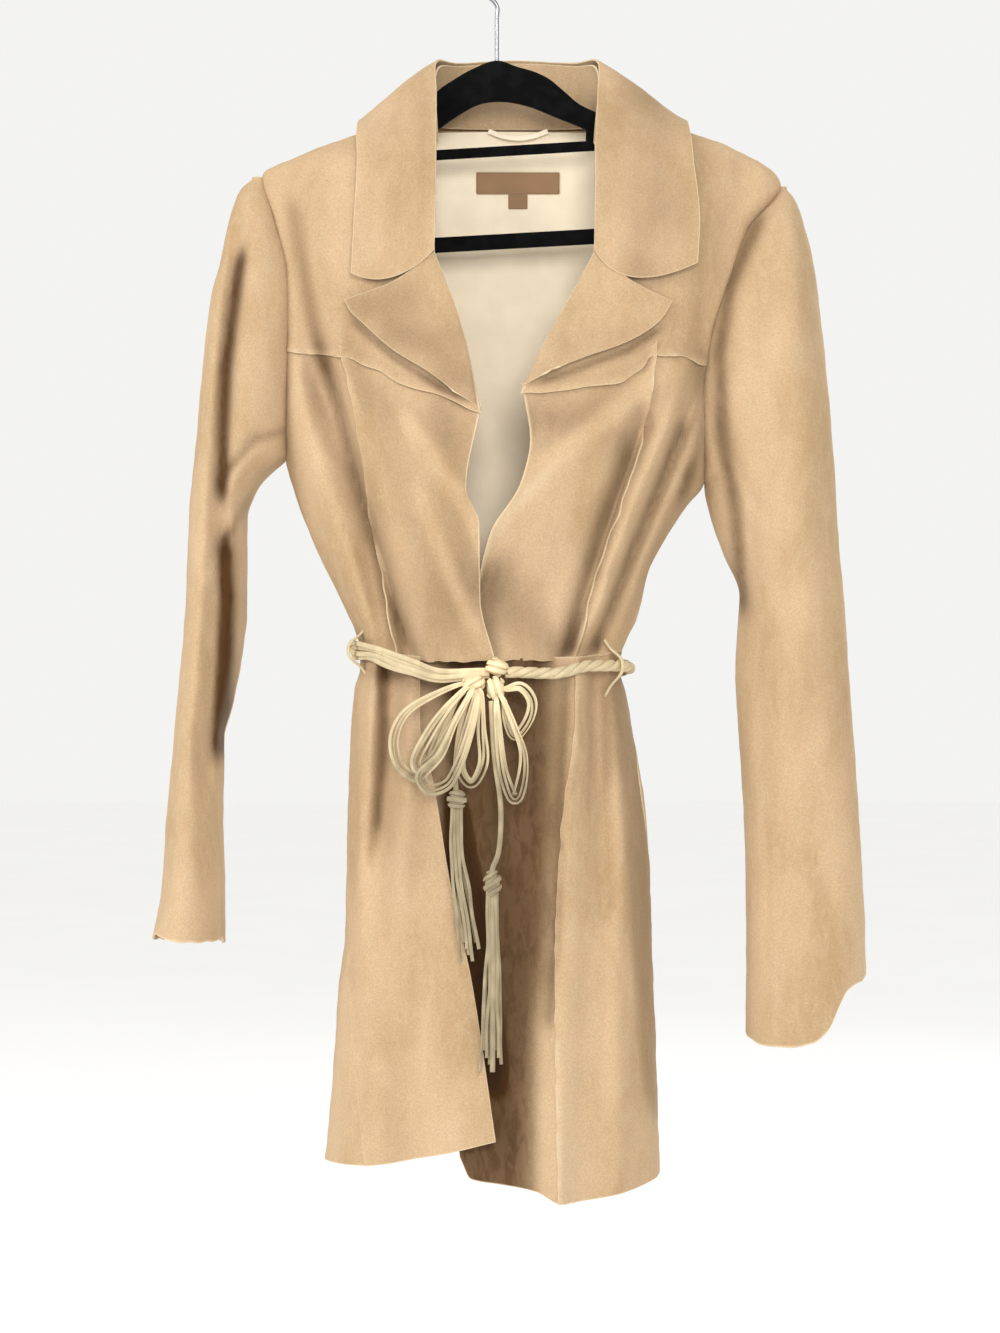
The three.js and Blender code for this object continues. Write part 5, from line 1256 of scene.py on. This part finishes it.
class JACKET_OT_lining(bpy.types.Operator):
    """Makes the lining that shows inside the neck, with its hang loop, bare label and bare size tag"""
    bl_idname = "jacket.lining"
    bl_label = "Lining and label"

    def execute(self, context):
        colours, sizes = colours_of(context), sizes_of(context)
        wall, inset = sizes.lining / MM, sizes.suede / MM + LINING["clear"]
        shade = tuple(v * LINING["shade"] for v in colours.lining)
        cloth = woven_cloth("woven lining", tuple(colours.lining), shade, sheen=0.2)
        grid = back_grid(steps_for(context, "lining_wide"), steps_for(context, "back_tall"))
        back = body_points(grid, 1, BACK_FOLDS)
        back = back - normals(back) * inset
        last_row, last_column = back.shape[0] - 1, back.shape[1] - 1
        columns = np.round(np.linspace(*LINING["columns"]) * last_column).astype(int)
        # Part of the back's height, the row along the cross seam, and how far the cloth rises there
        parts = {
            "lining_yoke": ((0, LINING["seam"], 48), -1, 0.2),
            "lining_back": ((LINING["seam"], 1, 100), 0, 1.8),
        }
        for node, (heights, seam_row, raised) in parts.items():
            points = back[np.ix_(np.round(np.linspace(*heights) * last_row).astype(int), columns)]
            from_seam = points[..., 2] - points[seam_row, :, 2]
            crease = raised * np.exp(-(from_seam / 4.0) ** 2) + 0.8 * ripple(points, 60, 51)
            points = points + np.array([0, -1, 0]) * crease[..., None]
            cloth_piece(context, node, points, np.zeros(points.shape[:2]), thick=wall, material=cloth,
                        slot="lining")
        self.tags(context, tuple(colours.label), inset + wall)
        line = spline(HANG_LOOP)(np.linspace(0, 1, 40))
        loop = lace_part(line, *HANG_LOOP_TAPE, faces_at=(0, -1, 0.3), square=2.6)
        add_piece("hang_loop", *loop, cloth, "lining")
        return {"FINISHED"}

    def tags(self, context, colour, inset):
        """Bare label and bare size tag on the lining."""
        shade = tuple(v * 0.62 for v in colour)
        woven = woven_cloth("woven label", colour, shade, thread_mm=0.8, roughness=0.7)
        for node, tag in TAGS.items():
            x = tag["x"] + tag["wide"] * (0.5 - spaced(30, 0.02))
            z = tag["z"] + tag["tall"] * (0.5 - spaced(12, 0.04))
            x, z = np.broadcast_arrays(x[None], z[:, None])
            turned = np.stack([np.pi - turn_at(x, z), z], axis=-1)
            points = body_points(turned, 1, lift=-(inset + tag["lift"]))
            cloth_piece(context, node, points, np.zeros(x.shape), thick=TAG_THICK, material=woven,
                        slot="label")


def belt_points(degrees, out=0.0, up=0.0):
    """Middle of the belt at turns in degrees."""
    degrees = np.asarray(degrees, float)
    turn, z = np.radians(degrees), belt_height(degrees)
    sin, cos = np.sin(turn), np.cos(turn)
    away = out + BELT_AT_SIDE + (BELT_AT_FRONT - BELT_AT_SIDE) * np.maximum(0, cos)
    half = (side_l(z) - side_r(z)) / 2 + away
    depth = np.where(cos > 0, depth_front(z), depth_back(z)) + away + BELT_SLACK
    x = (side_r(z) + side_l(z)) / 2 + half * np.sign(sin) * np.abs(sin) ** ROUNDNESS
    return np.stack([x, -np.sign(cos) * depth * np.abs(cos) ** ROUNDNESS, z + up], axis=-1)


def outward_of(points):
    """Level directions away from the waist's middle."""
    away = points - np.array([WAIST_MIDDLE, 0, 0])
    away[:, 2] = 0
    return away / np.linalg.norm(away, axis=1)[:, None]


def add_laces(context, node, parts):
    """Several laces as one piece, palest round the knots and with painted shade lower down."""
    vertices, faces = merged(parts)
    x, z = vertices[:, 0], vertices[:, 2]
    from_knots = np.hypot(x - LACE_PALE["x"], z - LACE_PALE["z"])
    paler = LACE_PALE["amount"] * np.exp(-from_knots ** 2 / LACE_PALE["reach"] ** 2)
    # Painted shade below the bow
    darker = LACE_DARK["amount"] * ease((LACE_DARK["from"] - z) / (LACE_DARK["from"] - LACE_DARK["to"]))
    marks = {"nap": 0.2 * ripple(vertices, 12, 61) + paler - darker, "rim": np.zeros(len(vertices))}
    return add_piece(node, vertices, faces, lace_suede_of(context), "lace", marks, sharp=60)


class JACKET_OT_belt(bpy.types.Operator):
    """Makes the belt of suede laces round the waist, flat on one side and twisted on the other"""
    bl_idname = "jacket.belt"
    bl_label = "Belt"

    def execute(self, context):
        for node, (start, stop, points, gathered) in FLAT_RUNS.items():
            self.flat_run(context, node, np.linspace(start, stop, points), gathered)
        centre = belt_points(np.linspace(*ROPE["degrees"]))
        away, up = outward_of(centre), np.array([0, 0, 1.0])
        travel = np.concatenate([[0], np.cumsum(np.linalg.norm(np.diff(centre, axis=0), axis=1))])
        parts = []
        for strand in range(ROPE["strands"]):
            angle = 2 * np.pi * (travel / ROPE["pitch"] + strand / ROPE["strands"])
            ring = ROPE["radius"] * (away * np.cos(angle)[:, None] + up * np.sin(angle)[:, None])
            parts.append(lace_part(centre + ring, *ROPE["lace"], faces_at=ring, sides=12, square=2.4))
        add_laces(context, "belt_front_l", parts)
        for node, carrier in CARRIERS.items():
            points = []
            for out, rise, share in CARRIER_LINE:
                reach = carrier["below" if share < 0 else "above"]
                points.append(belt_points(carrier["turn"], out, rise + share * reach))
            line = spline(points)(np.linspace(0, 1, 44))
            add_laces(context, node, [lace_part(line, *CARRIER_LACE, faces_at=outward_of(line), square=2.4)])
        return {"FINISHED"}

    def flat_run(self, context, node, degrees, gathered):
        """Laces side by side, drawn together at the ends of the run, gathered the most at its last end."""
        width, count = sizes_of(context).lace / MM, sizes_of(context).strands
        along = np.linspace(0, 1, len(degrees))
        spread = 0.55 + (gathered - 0.55) * along + 0.45 * np.sin(np.pi * along) ** 0.8
        parts = []
        for lace in range(count):
            wave = ripple(along[:, None] * 100, 46, 70 + lace)
            up = (lace - (count - 1) / 2) * width * spread + 0.9 * wave
            out = -1.6 + 1.4 * (lace % 2) + 0.8 * ripple(along[:, None] * 100, 60, 80 + lace)
            line = belt_points(degrees)
            line = line + outward_of(line) * out[:, None] + np.array([0, 0, 1.0]) * up[:, None]
            parts.append(lace_part(line, width, 1.7, faces_at=outward_of(line), twist=0.25 * wave))
        add_laces(context, node, parts)


def ellipsoid(centre, size, rings=14, sides=22):
    """A closed core for a knot."""
    latitude = np.linspace(-np.pi / 2, np.pi / 2, rings + 1)[1:-1]
    angle = np.linspace(0, 2 * np.pi, sides, endpoint=False)
    body = np.stack([np.outer(np.cos(latitude), np.cos(angle)), np.outer(np.cos(latitude), np.sin(angle)),
                     np.outer(np.sin(latitude), np.ones(sides))], axis=-1) * size + np.asarray(centre)
    count = len(latitude)
    ids = np.arange(count * sides).reshape(count, sides)
    ids = np.concatenate([ids, ids[:, :1]], axis=1)
    faces = quads(ids[:-1, :-1], ids[:-1, 1:], ids[1:, 1:], ids[1:, :-1]).tolist()
    low, high = count * sides, count * sides + 1
    faces += [[low, int(ids[0, k + 1]), int(ids[0, k])] for k in range(sides)]
    faces += [[high, int(ids[-1, k]), int(ids[-1, k + 1])] for k in range(sides)]
    poles = np.asarray(centre) + np.array([[0, 0, -size[2]], [0, 0, size[2]]])
    return np.concatenate([body.reshape(-1, 3), poles]), faces


def knot_parts(centre, size, tilt, width=4.0, turns=2.6, rise=0.62):
    """A core wound round with a lace, tilted in the view from the front by degrees."""
    t = np.linspace(0, 1, 90)
    angle = 2 * np.pi * turns * t
    latitude = (t - 0.5) * np.pi * rise
    x, y, z = np.cos(latitude) * np.cos(angle), np.cos(latitude) * np.sin(angle), np.sin(latitude)
    lean = math.radians(tilt)
    across, up = x * math.cos(lean) + z * math.sin(lean), z * math.cos(lean) - x * math.sin(lean)
    turned = np.stack([across, y, up], axis=-1)
    line = np.asarray(centre) + turned * np.asarray(size) * KNOT["winding"]
    return [ellipsoid(centre, np.asarray(size) * KNOT["core"]), lace_part(line, width, 1.9, faces_at=turned)]


def tucked(points, knot, share=0.45):
    """Points of a loop whose two ends are carried part of the way to the middle of their knot."""
    first, last, knot = np.asarray(points[0]), np.asarray(points[-1]), np.asarray(knot)
    return [first + (knot - first) * share, *points, last + (knot - last) * share]


class JACKET_OT_bow(bpy.types.Operator):
    """Makes the belt's knots and the bow loops below them"""
    bl_idname = "jacket.bow"
    bl_label = "Bow"

    def execute(self, context):
        width = sizes_of(context).lace / MM * LOOP_LACE["narrower"]
        for node, (centre, size, tilt) in KNOTS.items():
            add_laces(context, node, knot_parts(centre, size, tilt))
        t = np.linspace(0, 1, 84)
        bow = np.sin(np.pi * t)
        for number, (node, points) in enumerate(BOW_LOOPS.items()):
            knot = KNOTS["knot_right" if node in RIGHT_LOOPS else "knot_left"][0]
            line = spline(tucked(points, knot))(t)
            tangent = np.gradient(line, axis=0)
            tangent /= np.linalg.norm(tangent, axis=1)[:, None]
            across = np.cross(tangent, np.array([0, -1.0, 0]))
            parts = []
            for lace, (aside, depth, turn) in enumerate(LOOP_LACE["places"]):
                wave = ripple(t[:, None] * 90, 60, 90 + 2 * number + lace)
                moved = line + across * ((aside + 1.8 * wave) * bow)[:, None]
                moved[:, 1] += depth * bow
                parts.append(lace_part(moved, width, LOOP_LACE["thick"], twist=turn * bow + 0.6 * wave * bow))
            add_laces(context, node, parts)
        return {"FINISHED"}


class JACKET_OT_tails(bpy.types.Operator):
    """Makes the belt's two hanging ends with their knots and tassels"""
    bl_idname = "jacket.tails"
    bl_label = "Hanging ends"

    def execute(self, context):
        width = sizes_of(context).lace / MM
        for number, (node, tassel) in enumerate(TASSELS.items()):
            strands = add_laces(context, node, self.tassel_parts(number, **tassel))
            middle = self.strand_line(tassel["strands"] // 2, **tassel)
            line = spline([*TAILS[tassel["tail"]], tassel["knot"], *middle[1:]])(np.linspace(0, 1, 110))
            tail = add_laces(context, tassel["tail"], [lace_part(line, width, width * 0.8, square=2.4)])
        return {"FINISHED"}

    def strand_line(self, strand, knot, top, length, lean, strands, spread, **_):
        """Points along one strand of a tassel."""
        x, y = knot[:2]
        across = (strand / (strands - 1) - 0.5) * 2
        front = -1.6 if strand % 2 == 0 else 1.6
        # Some strands are up to an eighth shorter than others
        drop = length * (1 - 0.12 * ((strand * 3) % 4) / 3)
        return [(x + across * 3.4, y + front * 0.8, top + 6), (x + across * 4.2, y + front, top - drop * 0.3),
                (x + across * spread * 0.8 + lean * 0.5, y + front, top - drop * 0.65),
                (x + across * spread + lean, y + front, top - drop)]

    def tassel_parts(self, number, **tassel):
        """A wound knot and the strands beside the tail's own, which hang slightly apart."""
        parts = knot_parts(tassel["knot"], tassel["size"], 15 - 30 * number, width=3.6, turns=3.4, rise=0.8)
        t = np.linspace(0, 1, 40)
        for strand in range(tassel["strands"]):
            if strand == tassel["strands"] // 2:
                continue
            points = spline(self.strand_line(strand, **tassel))(t)
            wave = ripple(t[:, None] * 100, 50, 120 + 10 * number + strand)
            points[:, 0] += 1.1 * wave * np.sin(np.pi * t * 0.9)
            twist = 0.9 * ripple(t[:, None] * 100, 80, 140 + strand)
            parts.append(lace_part(points, *STRAND_LACE, twist=twist, sides=8))
        return parts


def shoulder_height(rows, x, centre=16):
    """Height of the shoulder line over x, from the body's outline."""
    tip = rows[4]
    upper = [(abs(row[1] - centre), row[0]) for row in rows if row[0] >= tip[0]]
    found = [row for row in upper if row[0] <= abs(tip[1] - centre)]
    return smooth([row[0] for row in found], [row[1] for row in found])(np.abs(np.asarray(x, float) - centre))


def plate(outline, thick, bevel):
    """Vertices and faces of an upright plate with rounded edges, cut to an outline in x and z."""
    shape = bmesh.new()
    face = shape.faces.new([shape.verts.new((x, -thick / 2, z)) for x, z in outline])
    moved = bmesh.ops.extrude_face_region(shape, geom=[face])["geom"]
    for corner in (item for item in moved if isinstance(item, bmesh.types.BMVert)):
        corner.co.y += thick
    bmesh.ops.recalc_face_normals(shape, faces=shape.faces)
    rims = [edge for edge in shape.edges if len({round(v.co.y, 3) for v in edge.verts}) == 1]
    bmesh.ops.bevel(shape, geom=rims, offset=bevel, segments=3, profile=0.5, affect="EDGES")
    bmesh.ops.triangulate(shape, faces=[f for f in shape.faces if len(f.verts) > 4])
    shape.verts.index_update()
    vertices = np.array([tuple(v.co) for v in shape.verts])
    # The bevel's own order of points changes from run to run, so points and faces are sorted
    order = np.lexsort(np.round(vertices, 3).T)
    sorted_index = np.argsort(order).tolist()
    faces = sorted(([sorted_index[v.index] for v in f.verts] for f in shape.faces), key=sorted)
    shape.free()
    return vertices[order], faces


class JACKET_OT_hanger(bpy.types.Operator):
    """Makes the flocked hanger with its two bars and its plated hook"""
    bl_idname = "jacket.hanger"
    bl_label = "Hanger"

    def execute(self, context):
        colours = colours_of(context)
        flock = flocked_plastic("flocked plastic", tuple(colours.flock))
        drop = sizes_of(context).suede / MM + HANGER_SEAT
        arm_r, arm_l = (np.stack([x, shoulder_height(rows, x) - drop], axis=-1)
                        for rows, x in ((SIDE_R, np.linspace(*ARM_R, 10)), (SIDE_L, np.linspace(*ARM_L, 10))))

        def tip(x, z, out):
            """The rounded end of an arm."""
            return [(x + out * 3, z - 5), (x + out * 3, z - TIP_DEPTH + 5), (x, z - TIP_DEPTH)]

        under = [*tip(*arm_l[-1], 1), *ARCH_UNDER, *tip(*arm_r[0], -1)[::-1]]
        top = spline([*arm_r, *ARCH_TOP, *arm_l])(np.linspace(0, 1, 150))
        low = spline(under[2:-2])(np.linspace(0, 1, 110))
        outline = [*map(tuple, top), *under[:2], *map(tuple, low), *under[-2:]]
        add_piece("hanger_frame", *plate(outline, HANGER_THICK, 2.2), flock, "flock", sharp=40)
        underside = np.array(sorted(under))
        for node, bar in BARS.items():
            vertices, faces = plate(self.bar_outline(underside, **bar), bar["thick"], 2.0)
            add_piece(node, vertices, faces, flock, "flock", sharp=40)
        self.hook(plated_steel("plated steel", tuple(colours.steel)))
        return {"FINISHED"}

    def bar_outline(self, underside, start, stop, tall, leg, **_):
        """A bar whose turned-up ends meet the underside of the arms."""
        (x0, z0), (x1, z1) = start, stop

        def bar(x, side):
            """A point of the bar's lower edge at side -1, or of its upper edge at 1."""
            return x, z0 + (z1 - z0) * (x - x0) / (x1 - x0) + side * tall / 2

        def arm(x):
            """The point of the arms' underside over x."""
            return x, float(np.interp(x, underside[:, 0], underside[:, 1]))

        return [bar(x0, -1), bar(x1, -1), arm(x1), arm(x1 - leg), bar(x1 - leg, 1), bar(x0 + leg, 1),
                arm(x0 + leg), arm(x0)]

    def hook(self, steel):
        """The shank and the loop over the rod, as one wire."""
        ring = HOOK_RADIUS + HOOK_WIRE / 2
        angles = np.radians(np.linspace(-80, 180, 13))[1:]
        loop = [(-ring * math.cos(a), 0, -HOOK_RADIUS + ring * math.sin(a)) for a in angles]
        line = spline([*((0, 0, z) for z in HOOK_SHANK), *loop])(np.linspace(0, 1, 120))
        add_piece("hanger_hook", *lace_part(line, HOOK_WIRE, HOOK_WIRE, sides=16, square=2.0), steel, "hook")


class JACKET_OT_stage(bpy.types.Operator):
    """Makes the floor, the soft studio light and the camera at the photograph's angle"""
    bl_idname = "jacket.stage"
    bl_label = "Stage"

    def execute(self, context):
        scene = context.scene
        camera = bpy.data.cameras.new("camera")
        camera.sensor_width = 36
        camera.lens = camera.sensor_width * CAMERA["distance"] / CAMERA["view_height"]
        camera.clip_end = 100
        viewer = bpy.data.objects.new("camera", camera)
        viewer.location = Vector((CAMERA["x"], -CAMERA["distance"], CAMERA["z"])) * MM
        viewer.rotation_euler = (math.pi / 2, 0, 0)
        scene.collection.objects.link(viewer)
        scene.camera = viewer

        mesh = bpy.data.meshes.new("floor")
        half = FLOOR_HALF
        corners = [(-half, -half, FLOOR_HEIGHT), (half, -half, FLOOR_HEIGHT),
                   (half, half, FLOOR_HEIGHT), (-half, half, FLOOR_HEIGHT)]
        mesh.from_pydata(corners, [], [(0, 1, 2, 3)])
        mesh.materials.append(matt_paper("floor paper", tuple(colours_of(context).floor)))
        floor = bpy.data.objects.new("floor", mesh)
        scene.collection.objects.link(floor)

        world = bpy.data.worlds.new("studio")
        world.use_nodes = True
        sky = world.node_tree.nodes["Background"].inputs
        sky["Color"].default_value, sky["Strength"].default_value = STUDIO
        scene.world = world
        scene.view_settings.view_transform = "Standard"
        for name, (place, size, power) in LIGHTS.items():
            data = bpy.data.lights.new(name, "AREA")
            data.size, data.energy = size, power
            lamp = bpy.data.objects.new(name, data)
            lamp.location = place
            lamp.rotation_euler = (Vector(LIT_POINT) - Vector(place)).to_track_quat("-Z", "Y").to_euler()
            scene.collection.objects.link(lamp)
        return {"FINISHED"}


class JACKET_PT_panel(bpy.types.Panel):
    """Lists the jacket's sizes, colours and pieces"""
    bl_label = "Suede jacket"
    bl_idname = "JACKET_PT_panel"
    bl_space_type = "VIEW_3D"
    bl_region_type = "UI"
    bl_category = "Jacket"

    def draw(self, context):
        for group in (sizes_of(context), colours_of(context)):
            for name in group.__annotations__:
                self.layout.prop(group, name)
        for operator in OPERATORS:
            self.layout.operator(operator.bl_idname)


OPERATORS = (JACKET_OT_stage, JACKET_OT_tails, JACKET_OT_fronts, JACKET_OT_back, JACKET_OT_skirts,
             JACKET_OT_sleeves, JACKET_OT_collar, JACKET_OT_lining, JACKET_OT_belt, JACKET_OT_bow,
             JACKET_OT_hanger)
CLASSES = (JacketColours, JacketSizes, *OPERATORS, JACKET_PT_panel)


def register():
    for cls in CLASSES:
        bpy.utils.register_class(cls)
    bpy.types.Scene.jacket_colours = PointerProperty(type=JacketColours)
    bpy.types.Scene.jacket_sizes = PointerProperty(type=JacketSizes)


def unregister():
    del bpy.types.Scene.jacket_sizes
    del bpy.types.Scene.jacket_colours
    for cls in reversed(CLASSES):
        bpy.utils.unregister_class(cls)


def main():
    """Makes the stage and every piece."""
    register()
    for operator in OPERATORS:
        group, name = operator.bl_idname.split(".")
        getattr(getattr(bpy.ops, group), name)()


if __name__ == "__main__":
    main()
